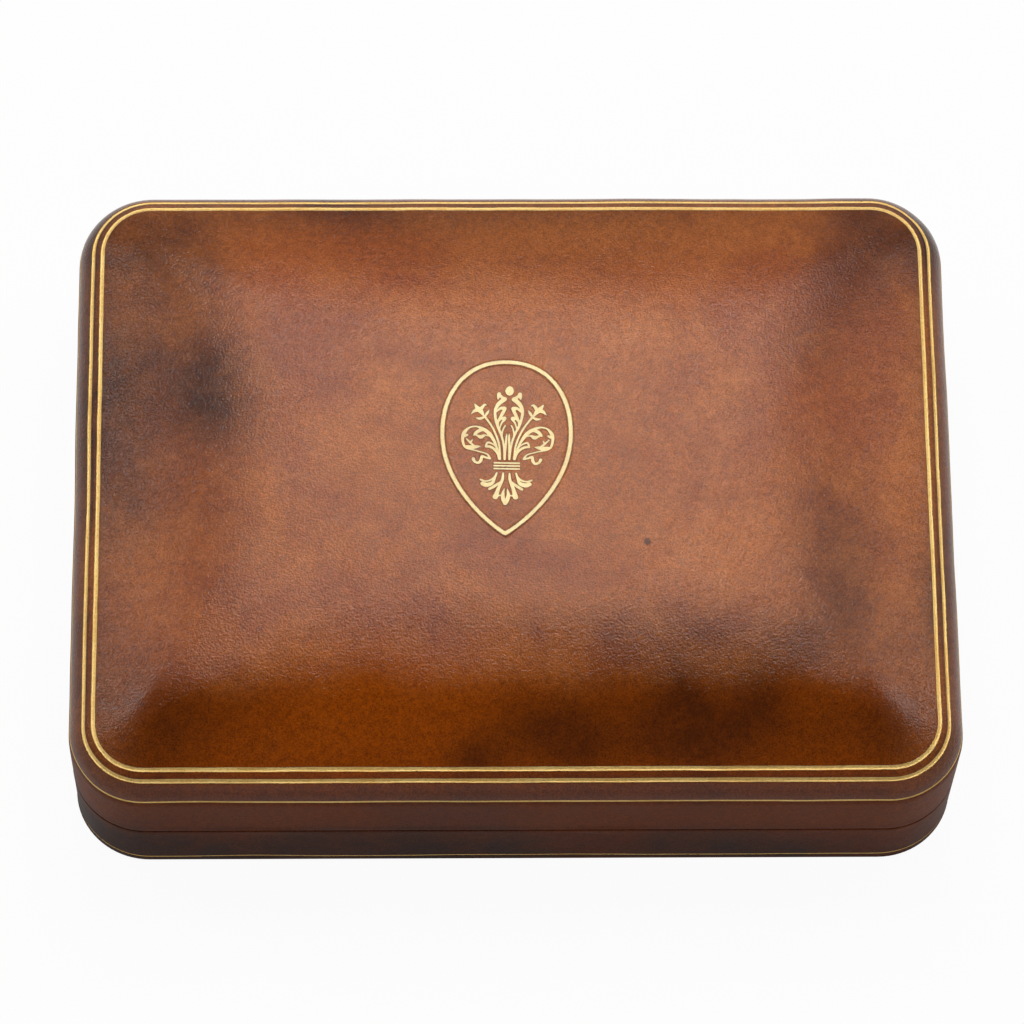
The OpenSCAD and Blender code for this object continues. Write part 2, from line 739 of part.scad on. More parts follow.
// One stroke in gold leaf on the crown; hand is -1 for the left half's
module stroke(points, widths, hand = 1) {
    size = lily_h / lily_drawn_h;
    sides = stroke_sides(points, widths);
    n = len(sides);
    corners = [
        for (s = sides)
            let (
                l = [s[0][0] * hand, s[0][1]] * size,
                r = [s[1][0] * hand, s[1][1]] * size,
                left = hand > 0 ? l : r,
                right = hand > 0 ? r : l
            )
            each [
                on_crown(left, leaf_lift + gold_t), on_crown(right, leaf_lift + gold_t),
                on_crown(right, leaf_lift), on_crown(left, leaf_lift)
            ]
    ];
    faces = concat(
        [[0, 1, 2, 3], [for (k = [4:-1:1]) 4 * n - 5 + k]],
        [
            for (i = [0:n - 2]) for (j = [0:3])
                let (
                    j2 = (j + 1) % 4,
                    a = 4 * i + j,
                    b = 4 * i + j2,
                    c = 4 * (i + 1) + j2,
                    d = 4 * (i + 1) + j
                )
                each [[a, d, c], [a, c, b]]
        ]
    );
    polyhedron(points = corners, faces = faces, convexity = 2);
}

// The tooled lily: gold leaf strokes that stand just clear of each other
module lid_lily() {
    color(gold_colour) {
        for (s = lily_strokes) for (hand = [-1, 1]) stroke(s[0], s[1], hand);
        for (s = lily_axis_strokes) stroke(s[0], s[1]);
    }
}

module lid_side_lining() {
    color(suede_colour) round_case()
        box_section(lining_in_r, lining_out_r, lid_rim_z + lining_drop, ceiling_z);
}

module lid_ceiling_pad() {
    color(suede_colour) translate([0, 0, ceiling_z]) mirror([0, 0, 1]) loft(pad_profile(0));
}

// Hinges: modelled about the pin, with Y outward; the lid's leaf is the base's turned over
pin_y = case_d / 2 + pin_out;
leaf_w = pin_out + leather_t + glue_gap + rail_t - leaf_land;
knuckle_pitch = (hinge_l - 2 * lug_l) / knuckles;
screw_x = hinge_l / 2 - screw_end;
screw_y = screw_edge - leaf_w;
head_h = screw_head_r - screw_r;

module at_hinges() {
    for (side = [-1, 1]) at_hinge(side) children();
}

module at_hinge(side) {
    translate([side * hinge_x, pin_y, parting_z]) children();
}

module cross_cylinder(r, x0, x1) {
    translate([x0, 0, 0]) rotate([0, 90, 0]) cylinder(r = r, h = x1 - x0, $fn = 64);
}

// Knuckle row k, counted from the left end
function row_x0(k) = -hinge_l / 2 + lug_l + knuckle_pitch * k;

module knuckle_rows(first, r, grow) {
    for (k = [first:2:knuckles - 1])
        cross_cylinder(r, row_x0(k) - grow, row_x0(k) + knuckle_pitch + grow);
}

// A stop lug: the part of a short barrel that lies on its own leaf's side of the stop face
module stop_lug(x0) {
    stop_face = stop_angle / 2 + 0.2;
    translate([x0, 0, 0]) rotate([90, 0, 90]) linear_extrude(height = lug_l)
        intersection() {
            circle(r = knuckle_r, $fn = 64);
            polygon([
                [0, -rim_gap / 2],
                [-cutter, -rim_gap / 2],
                [-cutter, -cutter],
                [cutter * cos(stop_face), -cutter * sin(stop_face)],
                [rim_gap / 2 / tan(stop_face), -rim_gap / 2]
            ]);
        }
}

// The base's leaf has the outer knuckles (first = 0), the lid's the ones between (first = 1)
module hinge_leaf(first) {
    color(brass_colour) difference() {
        union() {
            translate([-hinge_l / 2, -leaf_w, -rim_gap / 2 - leaf_t]) cube([hinge_l, leaf_w, leaf_t]);
            knuckle_rows(first, knuckle_r, -knuckle_gap / 2);
            stop_lug(-hinge_l / 2);
            stop_lug(hinge_l / 2 - lug_l);
        }
        knuckle_rows(1 - first, knuckle_r + sweep_gap, knuckle_gap / 2);
        cross_cylinder(pin_r + pin_play, -hinge_l, hinge_l);
        for (sx = [-1, 1])
            translate([sx * screw_x, screw_y, -rim_gap / 2]) screw_hole();
    }
}

module screw_hole() {
    translate([0, 0, -leaf_t - 1]) cylinder(r = screw_r + hinge_play, h = leaf_t + 2, $fn = 48);
    translate([0, 0, -head_h - head_sunk])
        cylinder(r1 = screw_r + hinge_play, r2 = screw_head_r + hinge_play, h = head_h, $fn = 48);
    translate([0, 0, -head_sunk]) cylinder(r = screw_head_r + hinge_play, h = 1, $fn = 48);
}

// Countersunk screw with a slotted head, its head just below the leaf's face
module screw() {
    difference() {
        union() {
            translate([0, 0, -head_sunk - hair - screw_l]) cylinder(r = screw_r, h = screw_l - head_h, $fn = 48);
            translate([0, 0, -head_sunk - hair - head_h])
                cylinder(r1 = screw_r, r2 = screw_head_r, h = head_h, $fn = 48);
        }
        translate([-screw_head_r - 1, -slot_w / 2, -head_sunk - slot_h])
            cube([2 * screw_head_r + 2, slot_w, slot_h + 1]);
    }
}

// What the hinges take out of the wood and the leather; half is -1 for the base and 1 for the lid
module hinge_seats(half) {
    at_hinges() mirror([0, 0, half > 0 ? 1 : 0]) {
        translate([-hinge_l / 2 - hinge_play, -leaf_w - hinge_play, -rim_gap / 2 - leaf_t])
            cube([hinge_l + 2 * hinge_play, leaf_w + cutter, leaf_t + rim_gap]);
        cross_cylinder(knuckle_r + sweep_gap, -hinge_l / 2 - sweep_gap, hinge_l / 2 + sweep_gap);
        for (sx = [-1, 1])
            translate([sx * screw_x, screw_y, -rim_gap / 2 - screw_l - head_sunk - hinge_play])
                cylinder(r = screw_r + hinge_play, h = screw_l, $fn = 48);
    }
}

module hinge_pin(side) {
    color(brass_colour) at_hinge(side)
        cross_cylinder(pin_r, -hinge_l / 2, hinge_l / 2);
}

module hinge_screws(half) {
    color(brass_colour) at_hinges() mirror([0, 0, half > 0 ? 1 : 0])
        for (sx = [-1, 1])
            translate([sx * screw_x, screw_y, -rim_gap / 2]) screw();
}

module base_leaf(side) {
    at_hinge(side) hinge_leaf(0);
}

module lid_leaf(side) {
    at_hinge(side) mirror([0, 0, 1]) hinge_leaf(1);
}

base_front_rail();
base_back_rail();
base_left_rail();
base_right_rail();
base_mitre_keys();
base_floor_panel();
base_leather();
base_gold_line();
base_underside_sheet();
base_side_lining();
base_floor_pad();
lid_front_rail();
lid_back_rail();
lid_left_rail();
lid_right_rail();
lid_mitre_keys();
lid_top_board();
lid_wadding();
lid_leather();
lid_outer_fillet();
lid_inner_fillet();
lid_side_gold_line();
lid_drop_frame();
lid_lily();
lid_side_lining();
lid_ceiling_pad();
base_leaf(-1);  // hinge_left_base_leaf
base_leaf(1);  // hinge_right_base_leaf
lid_leaf(-1);  // hinge_left_lid_leaf
lid_leaf(1);  // hinge_right_lid_leaf
hinge_pin(-1);  // hinge_left_pin
hinge_pin(1);  // hinge_right_pin
hinge_screws(-1);  // hinge_base_screws
hinge_screws(1);  // hinge_lid_screws
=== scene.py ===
# A hinged leather box with a crowned, gold-tooled lid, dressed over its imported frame.
import math

import bmesh
import bpy
import numpy as np
from mathutils import Matrix, Vector


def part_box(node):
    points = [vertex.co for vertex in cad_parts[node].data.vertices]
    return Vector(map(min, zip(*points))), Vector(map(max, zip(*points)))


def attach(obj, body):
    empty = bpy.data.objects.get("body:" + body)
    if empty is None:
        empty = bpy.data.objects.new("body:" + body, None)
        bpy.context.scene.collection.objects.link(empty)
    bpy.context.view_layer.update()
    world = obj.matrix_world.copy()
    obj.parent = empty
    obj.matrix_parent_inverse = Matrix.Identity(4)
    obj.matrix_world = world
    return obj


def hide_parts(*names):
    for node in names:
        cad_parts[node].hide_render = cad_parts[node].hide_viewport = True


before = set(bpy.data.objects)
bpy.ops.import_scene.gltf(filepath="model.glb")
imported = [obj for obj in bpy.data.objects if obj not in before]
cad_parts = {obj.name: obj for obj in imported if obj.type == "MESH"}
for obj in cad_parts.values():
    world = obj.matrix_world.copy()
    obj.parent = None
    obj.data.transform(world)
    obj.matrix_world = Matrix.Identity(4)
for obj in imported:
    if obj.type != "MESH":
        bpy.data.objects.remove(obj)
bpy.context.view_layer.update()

MM = 0.001

# Places and sizes that come from the frame, in metres
lid_low, lid_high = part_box("lid_leather")
base_low, base_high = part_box("base_leather")
CASE_W = lid_high.x - lid_low.x
CASE_D = lid_high.y - lid_low.y
LID_RIM_Z = lid_low.z
BASE_RIM_Z = base_high.z
FOOT_Z = base_low.z
EDGE_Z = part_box("lid_front_rail")[1].z
BASE_WOOD_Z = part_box("base_floor_panel")[0].z
FLOOR_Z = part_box("base_floor_pad")[0].z
CEILING_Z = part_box("lid_ceiling_pad")[1].z
BOARD_TOP_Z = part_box("lid_top_board")[1].z
PARTING_Z = (LID_RIM_Z + BASE_RIM_Z) / 2
HINGE_X = sum(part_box("hinge_right_pin"), Vector()).x / 2
HINGE_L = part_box("hinge_right_pin")[1].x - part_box("hinge_right_pin")[0].x
PIN_Y = sum(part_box("hinge_right_pin"), Vector()).y / 2

# The case's own sizes
CORNER_R = 17 * MM
EDGE_R = 9.5 * MM
CROWN_SLOPE = math.radians(17)
CROWN_RISE = 2.2 * MM
EASE_FROM = 12 * MM
EASE_TO = 52 * MM
LEATHER_T = 1.2 * MM
PARED_T = 0.7 * MM
TURN_IN_H = 6 * MM
TURN_IN_R = 0.35 * MM
TURN_IN_BEVEL = 0.15 * MM
TURN_UNDER_W = 11 * MM
FOOT_EDGE_R = 1 * MM
RIM_R = 0.45 * MM
GLUE_GAP = 0.15 * MM
RAIL_T = 8 * MM
LINING_T = 1.5 * MM
LINING_DROP = 1.25 * MM
LINING_EDGE_R = 0.6 * MM
TURN_OUT_D = LEATHER_T + GLUE_GAP + RAIL_T + GLUE_GAP
TURN_IN_D = TURN_OUT_D + PARED_T
LINING_OUT_D = TURN_IN_D + GLUE_GAP
LINING_IN_D = LINING_OUT_D + LINING_T
PAD_D = LINING_IN_D + GLUE_GAP
PAD_T = 2.6 * MM
PAD_CROWN = 1.2 * MM
PAD_DRAW = 1.2 * MM
# A cushion's side: shares of its draw inward and of its thickness up
PAD_SIDE = [
    (0.3, 0.0), (0.12, 0.22), (0.02, 0.45), (0.0, 0.62), (0.05, 0.78), (0.25, 0.92), (0.6, 0.99), (1.0, 1.02),
]
WADDING_GAP = 0.12 * MM

# Gold tooling
GROOVE_DEPTH = 0.30 * MM
FILLET_W = 1.1 * MM
FILLET_SWAY = 0.07 * MM
SIDE_LINE_W = 0.5 * MM
SIDE_LINE_DEPTH = GROOVE_DEPTH * 0.5
SIDE_SWAY = 0.05 * MM
FILLET_OUTER_D = 3.5 * MM
FILLET_INNER_D = 5.75 * MM
LID_LINE_RISE = 2.6 * MM
BASE_LINE_Z = 3.9 * MM
FINE_BAND = 0.7 * MM
LEAF_T = 0.05 * MM
LEAF_LIFT = 0.03 * MM
LEAF_REACH = 0.94
STEEP_FLANK = 0.22
LIP_SHARE = 0.16
LIP_PLACE = 1.25
LIP_SPREAD = 0.3
DROP_HALF_W = 15 * MM
DROP_H = 43.5 * MM
DROP_Y = 8 * MM
DROP_TOP_SHARE = 0.423
DROP_ARCH = 0.92
DROP_LEAF = 0.9
DROP_LINE_W = 1 * MM
EMBLEM_X = -2 * MM
EMBLEM_Y = 0.33 * MM
EMBLEM_TURN = math.radians(-1.3)
EMBLEM_LIFT = 0.05 * MM
EMBLEM_T = 0.04 * MM
SHADE_LIFT = 0.012 * MM
SHADE_T = 0.01 * MM
SHADE_STRENGTH = 0.6

# Hinge seats
LEAF_METAL_T = 1.5 * MM
LEAF_METAL_W = 9.15 * MM
KNUCKLE_R = 2.4 * MM
SWEEP_GAP = 0.15 * MM
SEAT_GAP = 0.15 * MM
SEAT_REACH = 20 * MM
HINGE_PLAY = 0.05 * MM

# Points round a level line: along the long sides, the short sides and each corner
LONG_STEPS = 100
SHORT_STEPS = 76
CORNER_STEPS = 20


# Smooth curves of the crown, as functions of the distance from the wall
def ease(t):
    t = np.clip(t, 0, 1)
    return t * t * (3 - 2 * t)


def ease_area(t):
    t = np.asarray(t, float)
    inside = np.clip(t, 0, 1)
    return np.where(t >= 1, t - 0.5, inside ** 3 - inside ** 4 / 2)


def soft_max(a, b, soft):
    return (a + b + np.sqrt((a - b) ** 2 + soft * soft)) / 2


EDGE_TURN = math.pi / 2 - CROWN_SLOPE
CROWN_D = EDGE_R * (1 - math.cos(EDGE_TURN))
CROWN_Z = EDGE_Z + EDGE_R * math.sin(EDGE_TURN)
MIDDLE_D = CASE_D / 2
EASE_RUN = EASE_TO - EASE_FROM
RISE_SLOPE = 2 * CROWN_RISE / (MIDDLE_D - CROWN_D)
MAIN_SLOPE = math.tan(CROWN_SLOPE) - RISE_SLOPE
OPEN_RUN = 16 * MM
OPEN_RATE = 0.8
OVAL_SOFT = 6 * MM


def crown_height(d):
    share = (d - CROWN_D) / (MIDDLE_D - CROWN_D)
    fall = d - CROWN_D - EASE_RUN * ease_area((d - EASE_FROM) / EASE_RUN)
    return CROWN_Z + MAIN_SLOPE * fall + CROWN_RISE * (1 - (1 - share) ** 2)


def crown_radius(d):
    opened = CORNER_R - d + (1 + OPEN_RATE) * OPEN_RUN * ease_area((d - CROWN_D) / OPEN_RUN)
    soft = OVAL_SOFT * ease((d - CROWN_D) / OPEN_RUN)
    oval = MIDDLE_D - d - soft_max(MIDDLE_D - d - opened, 0, soft)
    return np.where(d <= CROWN_D, CORNER_R - d, oval)


def level_at(x, y):
    """Distance from the wall of the crown's level line that passes through each point."""
    low = np.full(np.shape(x), CROWN_D)
    high = np.full(np.shape(x), MIDDLE_D)
    for _ in range(26):
        mid = (low + high) / 2
        r = crown_radius(mid)
        qx = np.abs(x) - (CASE_W / 2 - mid - r)
        qy = np.abs(y) - (CASE_D / 2 - mid - r)
        out = np.hypot(np.maximum(qx, 0), np.maximum(qy, 0)) + np.minimum(np.maximum(qx, qy), 0) > r
        high = np.where(out, mid, high)
        low = np.where(out, low, mid)
    return (low + high) / 2


# Unevenness made by hand: slow waves in the leather, dents and unsteady lines
class Waves:
    """A sum of seeded sine waves in space, about -1 to 1."""

    def __init__(self, seed, longest, shortest, count=14):
        rng = np.random.default_rng(seed)
        lengths = np.geomspace(longest, shortest, count)
        turned = rng.normal(size=(count, 3))
        turned /= np.linalg.norm(turned, axis=1)[:, None]
        self.k = turned * (2 * math.pi / lengths)[:, None]
        self.phase = rng.uniform(0, 2 * math.pi, count)
        self.size = np.sqrt(lengths / longest)
        self.size /= math.sqrt((self.size ** 2).sum() / 2) * 2

    def __call__(self, points):
        return np.sin(points @ self.k.T + self.phase) @ self.size

    def over(self, x, y):
        """The waves on the ground below each place of a grid."""
        return self(np.stack([x.ravel(), y.ravel(), np.zeros(x.size)], 1)).reshape(x.shape)


def ring_noise(seed, count, low, high):
    """Noise round a closed line of count points, with whole waves from low to high."""
    rng = np.random.default_rng(seed)
    turn = np.arange(count) / count * 2 * math.pi
    total = np.zeros(count)
    for waves in range(low, high + 1):
        total += rng.normal() / math.sqrt(waves) * np.sin(waves * turn + rng.uniform(0, 2 * math.pi))
    return total / np.abs(total).max()


slow_waves = Waves(11, 70 * MM, 22 * MM)
quick_waves = Waves(12, 14 * MM, 6 * MM)
edge_waves = Waves(13, 60 * MM, 12 * MM)
SLOW_SWELL = 0.13 * MM
QUICK_SWELL = 0.018 * MM

# Dents in the lid: place, radius and depth
DENTS = [
    ((95 * MM, 70 * MM, 43 * MM), 3.0 * MM, 0.55 * MM),
    ((91 * MM, 72.5 * MM, 42 * MM), 1.8 * MM, 0.3 * MM),
    ((-97 * MM, -66 * MM, 36 * MM), 3.5 * MM, 0.15 * MM),
]


def swell(points):
    """How far the leather stands proud of its plain form at each point."""
    total = SLOW_SWELL * slow_waves(points) + QUICK_SWELL * quick_waves(points)
    for place, radius, depth in DENTS:
        far = np.linalg.norm(points - np.array(place), axis=1)
        total -= depth * np.exp(-(far / radius) ** 2)
    return total


def lid_top(x, y):
    """Height of the crown's leather above each point."""
    x, y = np.asarray(x, float), np.asarray(y, float)
    z = crown_height(level_at(x, y))
    points = np.stack([x.ravel(), y.ravel(), z.ravel()], 1)
    return z + swell(points).reshape(z.shape)


# Level lines: rounded rectangles with the same points on each
def level_template():
    """Corner signs and outward directions of each point, from the right back corner's middle to the left."""
    rows = []
    half = CORNER_STEPS // 2
    signs = [(1, 1), (-1, 1), (-1, -1), (1, -1)]
    for q in range(4):
        sx, sy = signs[q]
        nx, ny = signs[(q + 1) % 4]
        for k in range(half, CORNER_STEPS + 1):
            a = math.pi / 2 * (q + k / CORNER_STEPS)
            rows.append((sx, sy, math.cos(a), math.sin(a)))
        steps = LONG_STEPS if q % 2 == 0 else SHORT_STEPS
        a = math.pi / 2 * (q + 1)
        for k in range(1, steps):
            s = k / steps
            rows.append((sx + (nx - sx) * s, sy + (ny - sy) * s, math.cos(a), math.sin(a)))
        for k in range(half):
            a = math.pi / 2 * (q + 1 + k / CORNER_STEPS)
            rows.append((nx, ny, math.cos(a), math.sin(a)))
    return np.array(rows)


TEMPLATE = level_template()
RING_N = len(TEMPLATE)
GRID_X = LONG_STEPS + CORNER_STEPS
GRID_Y = SHORT_STEPS + CORNER_STEPS


def level(d, z, r=None, out=0.0, up=0.0):
    """Points of the level line d from the wall at height z, pushed out and up by amounts along the line."""
    r = CORNER_R - d if r is None else r
    x = TEMPLATE[:, 0] * (CASE_W / 2 - d - r) + (r + out) * TEMPLATE[:, 2]
    y = TEMPLATE[:, 1] * (CASE_D / 2 - d - r) + (r + out) * TEMPLATE[:, 3]
    return np.stack([x, y, np.full(RING_N, z) + up], 1)


def edge_level(turn, deep=0.0):
    """Points on the lid's rounded edge, where turn is 0 on the wall and EDGE_TURN at the crown."""
    turn = np.broadcast_to(turn, (RING_N,))
    radius = EDGE_R - deep
    out = radius * np.cos(turn) - EDGE_R
    return level(0, EDGE_Z, out=out, up=radius * np.sin(turn))


def edge_normal(turn):
    turn = np.broadcast_to(turn, (RING_N,))
    return np.stack([TEMPLATE[:, 2] * np.cos(turn), TEMPLATE[:, 3] * np.cos(turn), np.sin(turn)], 1)


# Tooled lines round the lid's edge: place, width and how unsteady the hand was
def turn_at(d):
    return math.acos(1 - d / EDGE_R)


class TooledLine:
    """A groove whose flank towards the wall rises evenly over a share of its width."""

    def __init__(self, seed, turn, width, depth, sway, flank):
        self.flank = flank
        self.turn = turn + sway * ring_noise(seed, RING_N, 2, 60) / EDGE_R
        self.width = width * (1 + 0.10 * ring_noise(seed + 1, RING_N, 5, 160))
        self.depth = depth * (1 + 0.25 * ring_noise(seed + 2, RING_N, 2, 40))

    def sunk(self, turn):
        """Depth of the groove below the leather at a turn of the edge, with a faint lip beside it."""
        off = (turn - self.turn) * EDGE_R / (self.width / 2)
        rise = (1 + off) / self.flank
        fall = (1 - off) / STEEP_FLANK
        floor = np.clip(-soft_max(-soft_max(rise, 0, 0.1), -np.minimum(fall, 1), 0.12), 0, 1)
        lip = LIP_SHARE * np.exp(-((np.abs(off) - LIP_PLACE) / LIP_SPREAD) ** 2)
        return self.depth * (floor - lip)


OUTER_LINE = TooledLine(21, turn_at(FILLET_OUTER_D), FILLET_W, GROOVE_DEPTH, FILLET_SWAY, 0.72)
INNER_LINE = TooledLine(24, turn_at(FILLET_INNER_D), FILLET_W, GROOVE_DEPTH * 0.6, FILLET_SWAY, 0.72)
SIDE_LINE = TooledLine(27, math.asin(LID_LINE_RISE / EDGE_R), SIDE_LINE_W, SIDE_LINE_DEPTH, SIDE_SWAY, 0.9)
EDGE_LINES = [OUTER_LINE, INNER_LINE, SIDE_LINE]
base_sway = SIDE_SWAY * ring_noise(31, RING_N, 2, 60)
base_width = SIDE_LINE_W * (1 + 0.12 * ring_noise(32, RING_N, 5, 160))


def edge_surface(turn, lift=0.0):
    """Points of the tooled leather on the lid's rounded edge, or of leaf lifted off it."""
    plain = edge_level(turn)
    sunk = sum(line.sunk(turn) for line in EDGE_LINES)
    return plain + edge_normal(turn) * (swell(plain) - sunk + lift)[:, None]


def base_wall_surface(z, lift=0.0):
    """Points of the tooled leather on the base's wall, or of leaf lifted off it."""
    off = np.abs(z - BASE_LINE_Z - base_sway) / (base_width / 2)
    sunk = SIDE_LINE_DEPTH * np.sqrt(np.clip(1 - off ** 2, 0, 1))
    return level(0, z, out=swell(level(0, z)) - sunk + lift)


# Mesh building
def placed(name, data, place=Matrix()):
    """A new object of the scene."""
    obj = bpy.data.objects.new(name, data)
    bpy.context.scene.collection.objects.link(obj)
    obj.matrix_world = place
    return obj


def new_piece(name, points, faces):
    mesh = bpy.data.meshes.new(name)
    mesh.from_pydata([tuple(p) for p in points], [], faces)
    mesh.validate()
    mesh.update()
    mesh.polygons.foreach_set("use_smooth", [True] * len(mesh.polygons))
    return placed(name, mesh)


def points_of(obj):
    co = np.zeros(len(obj.data.vertices) * 3)
    obj.data.vertices.foreach_get("co", co)
    return co.reshape(-1, 3)


def set_attribute(obj, name, values):
    attribute = obj.data.attributes.new(name, "FLOAT", "POINT")
    attribute.data.foreach_set("value", np.asarray(values, np.float32))


def ring_faces(first, second, n=RING_N):
    return [(first + j, first + (j + 1) % n, second + (j + 1) % n, second + j) for j in range(n)]


def grid_border():
    """Grid places of a level line's points, counter-clockwise from the right back corner."""
    back = [(GRID_X - k, GRID_Y) for k in range(GRID_X)]
    left = [(0, GRID_Y - k) for k in range(GRID_Y)]
    front = [(k, 0) for k in range(GRID_X)]
    right = [(GRID_X, k) for k in range(GRID_Y)]
    return back + left + front + right


class Shell:
    """A closed skin made of level lines, each end filled or joined to the other."""

    def __init__(self):
        self.points = []
        self.faces = []
        self.last = None
        self.first = None

    def add(self, ring):
        start = len(self.points)
        self.points.extend(ring)
        if self.last is not None:
            self.faces.extend(ring_faces(self.last, start))
        else:
            self.first = start
        self.last = start

    def join_ends(self):
        self.faces.extend(ring_faces(self.last, self.first))

    def fill(self, ring, height, over):
        """Fills a ring with a grid; height gives z for x and y, and over is True where the grid faces up."""
        grid = np.zeros((GRID_X + 1, GRID_Y + 1, 3))
        ids = np.zeros((GRID_X + 1, GRID_Y + 1), int)
        for k, place in enumerate(grid_border()):
            grid[place] = self.points[ring + k]
            ids[place] = ring + k
        u = np.linspace(0, 1, GRID_X + 1)[:, None, None]
        v = np.linspace(0, 1, GRID_Y + 1)[None, :, None]
        ends = ((1 - u) * (1 - v) * grid[0, 0] + u * (1 - v) * grid[-1, 0]
                + (1 - u) * v * grid[0, -1] + u * v * grid[-1, -1])
        across = (1 - v) * grid[:, :1] + v * grid[:, -1:]
        along = (1 - u) * grid[:1, :] + u * grid[-1:, :]
        inner = (across + along - ends)[1:-1, 1:-1]
        inner[..., 2] = height(inner[..., 0], inner[..., 1])
        count = (GRID_X - 1) * (GRID_Y - 1)
        ids[1:-1, 1:-1] = len(self.points) + np.arange(count).reshape(GRID_X - 1, GRID_Y - 1)
        self.points.extend(inner.reshape(-1, 3))
        for i in range(GRID_X):
            for j in range(GRID_Y):
                face = (ids[i, j], ids[i + 1, j], ids[i + 1, j + 1], ids[i, j + 1])
                self.faces.append(face if over else face[::-1])

    def piece(self, name):
        """The skin as a piece with its faces turned outward."""
        obj = new_piece(name, self.points, [tuple(int(v) for v in f) for f in self.faces])
        made = bmesh.new()
        made.from_mesh(obj.data)
        bmesh.ops.recalc_face_normals(made, faces=made.faces)
        made.to_mesh(obj.data)
        made.free()
        return obj


def arc(count, start, end):
    """Turns from start to end in count steps."""
    return [start + (end - start) * k / count for k in range(count + 1)]


def round_edge(shell, d, z, in_r, up_r, turns):
    """Level lines round an edge at d from the wall and height z, whose radii point inward and up."""
    for turn in turns:
        shell.add(level(d + in_r * (1 - math.cos(turn)), z + up_r * (1 - math.sin(turn))))


def rim_rings(shell, rim_z, way):
    """From the wall over the rim and down the turned-in leather; way is 1 where the rim faces down."""
    round_edge(shell, 0, rim_z, RIM_R, way * RIM_R, arc(5, 0, math.pi / 2))
    for share in (0.35, 0.7):
        shell.add(level(TURN_IN_D * share, rim_z))
    round_edge(shell, TURN_IN_D, rim_z, -TURN_IN_R, way * TURN_IN_R, arc(4, math.pi / 2, 0))
    behind = [
        (TURN_IN_D, TURN_IN_H / 2),
        (TURN_IN_D, TURN_IN_H - TURN_IN_BEVEL),
        (TURN_IN_D - TURN_IN_BEVEL, TURN_IN_H),
        (TURN_OUT_D, TURN_IN_H),
        (TURN_OUT_D, LEATHER_T),
        (LEATHER_T, LEATHER_T),
    ]
    for d, far in behind:
        shell.add(level(d, rim_z + way * far))


def seat_cutter(half):
    """What the hinges take out of a cover's back wall; half is -1 for the base and 1 for the lid."""
    mesh = bmesh.new()
    size = Matrix.Diagonal((HINGE_L + 2 * HINGE_PLAY, SEAT_REACH, LEAF_METAL_T + 2 * SEAT_GAP, 1))
    y = PIN_Y - LEAF_METAL_W - HINGE_PLAY + SEAT_REACH / 2
    for x in (-HINGE_X, HINGE_X):
        box = bmesh.ops.create_cube(mesh, size=1)["verts"]
        place = Matrix.Translation((x, y, PARTING_Z + half * LEAF_METAL_T / 2))
        bmesh.ops.transform(mesh, matrix=place @ size, verts=box)
    return mesh


def barrel_cutter():
    """Room for the hinges' knuckles."""
    mesh = bmesh.new()
    r = KNUCKLE_R + SWEEP_GAP
    for x in (-HINGE_X, HINGE_X):
        made = bmesh.ops.create_cone(
            mesh, cap_ends=True, segments=48, radius1=r, radius2=r, depth=HINGE_L + 2 * SWEEP_GAP)["verts"]
        place = Matrix.Translation((x, PIN_Y, PARTING_Z)) @ Matrix.Rotation(math.pi / 2, 4, "Y")
        bmesh.ops.transform(mesh, matrix=place, verts=made)
    return mesh


def cut(obj, *cutters):
    """Takes the cutters' volumes out of a piece and keeps the result as its mesh."""
    for made in cutters:
        data = bpy.data.meshes.new("cutter")
        made.to_mesh(data)
        made.free()
        cutter = placed("cutter", data)
        modifier = obj.modifiers.new("cut", "BOOLEAN")
        modifier.operation = "DIFFERENCE"
        modifier.solver = "EXACT"
        modifier.object = cutter
        depsgraph = bpy.context.evaluated_depsgraph_get()
        result = bpy.data.meshes.new_from_object(obj.evaluated_get(depsgraph), depsgraph=depsgraph)
        obj.modifiers.clear()
        old = obj.data
        obj.data = result
        obj.data.name = obj.name
        bpy.data.meshes.remove(old)
        bpy.data.objects.remove(cutter)
        bpy.data.meshes.remove(data)
    return obj


# The leather covers
def lid_cover():
    shell = Shell()
    for step in (1.0, 0.6, 0.3, 0.12):
        d = CROWN_D + step * MM
        plain = level(d, float(crown_height(d)), float(crown_radius(d)))
        shell.add(plain + [0, 0, 1] * swell(plain)[:, None])
    shell.fill(0, lid_top, True)
    for turn in arc(110, EDGE_TURN, 0):
        shell.add(edge_surface(turn))
    for z in np.linspace(EDGE_Z, LID_RIM_Z + RIM_R, 14)[1:-1]:
        shell.add(level(0, z, out=swell(level(0, z))))
    rim_rings(shell, LID_RIM_Z, 1)
    for turn in arc(10, 0, EDGE_TURN):
        shell.add(edge_level(turn, LEATHER_T))
    shell.fill(shell.last, lambda x, y: crown_height(level_at(x, y)) - LEATHER_T, False)
    return cut(shell.piece("lid_cover"), seat_cutter(1), barrel_cutter())


def base_cover():
    shell = Shell()
    shell.add(level(TURN_UNDER_W, BASE_WOOD_Z))
    shell.add(level(TURN_UNDER_W, FOOT_Z))
    shell.add(level(TURN_UNDER_W / 2, FOOT_Z))
    round_edge(shell, 0, FOOT_Z, FOOT_EDGE_R, FOOT_EDGE_R, arc(6, math.pi / 2, 0))
    low = BASE_LINE_Z - FINE_BAND
    high = BASE_LINE_Z + FINE_BAND
    below = np.linspace(FOOT_Z + FOOT_EDGE_R, low, 5)[1:-1]
    above = np.linspace(high, BASE_RIM_Z - RIM_R, 14)[1:-1]
    for z in (*below, *np.linspace(low, high, 18), *above):
        shell.add(base_wall_surface(z))
    rim_rings(shell, BASE_RIM_Z, -1)
    shell.add(level(LEATHER_T, BASE_WOOD_Z))
    shell.join_ends()
    return cut(shell.piece("base_cover"), seat_cutter(-1), barrel_cutter())


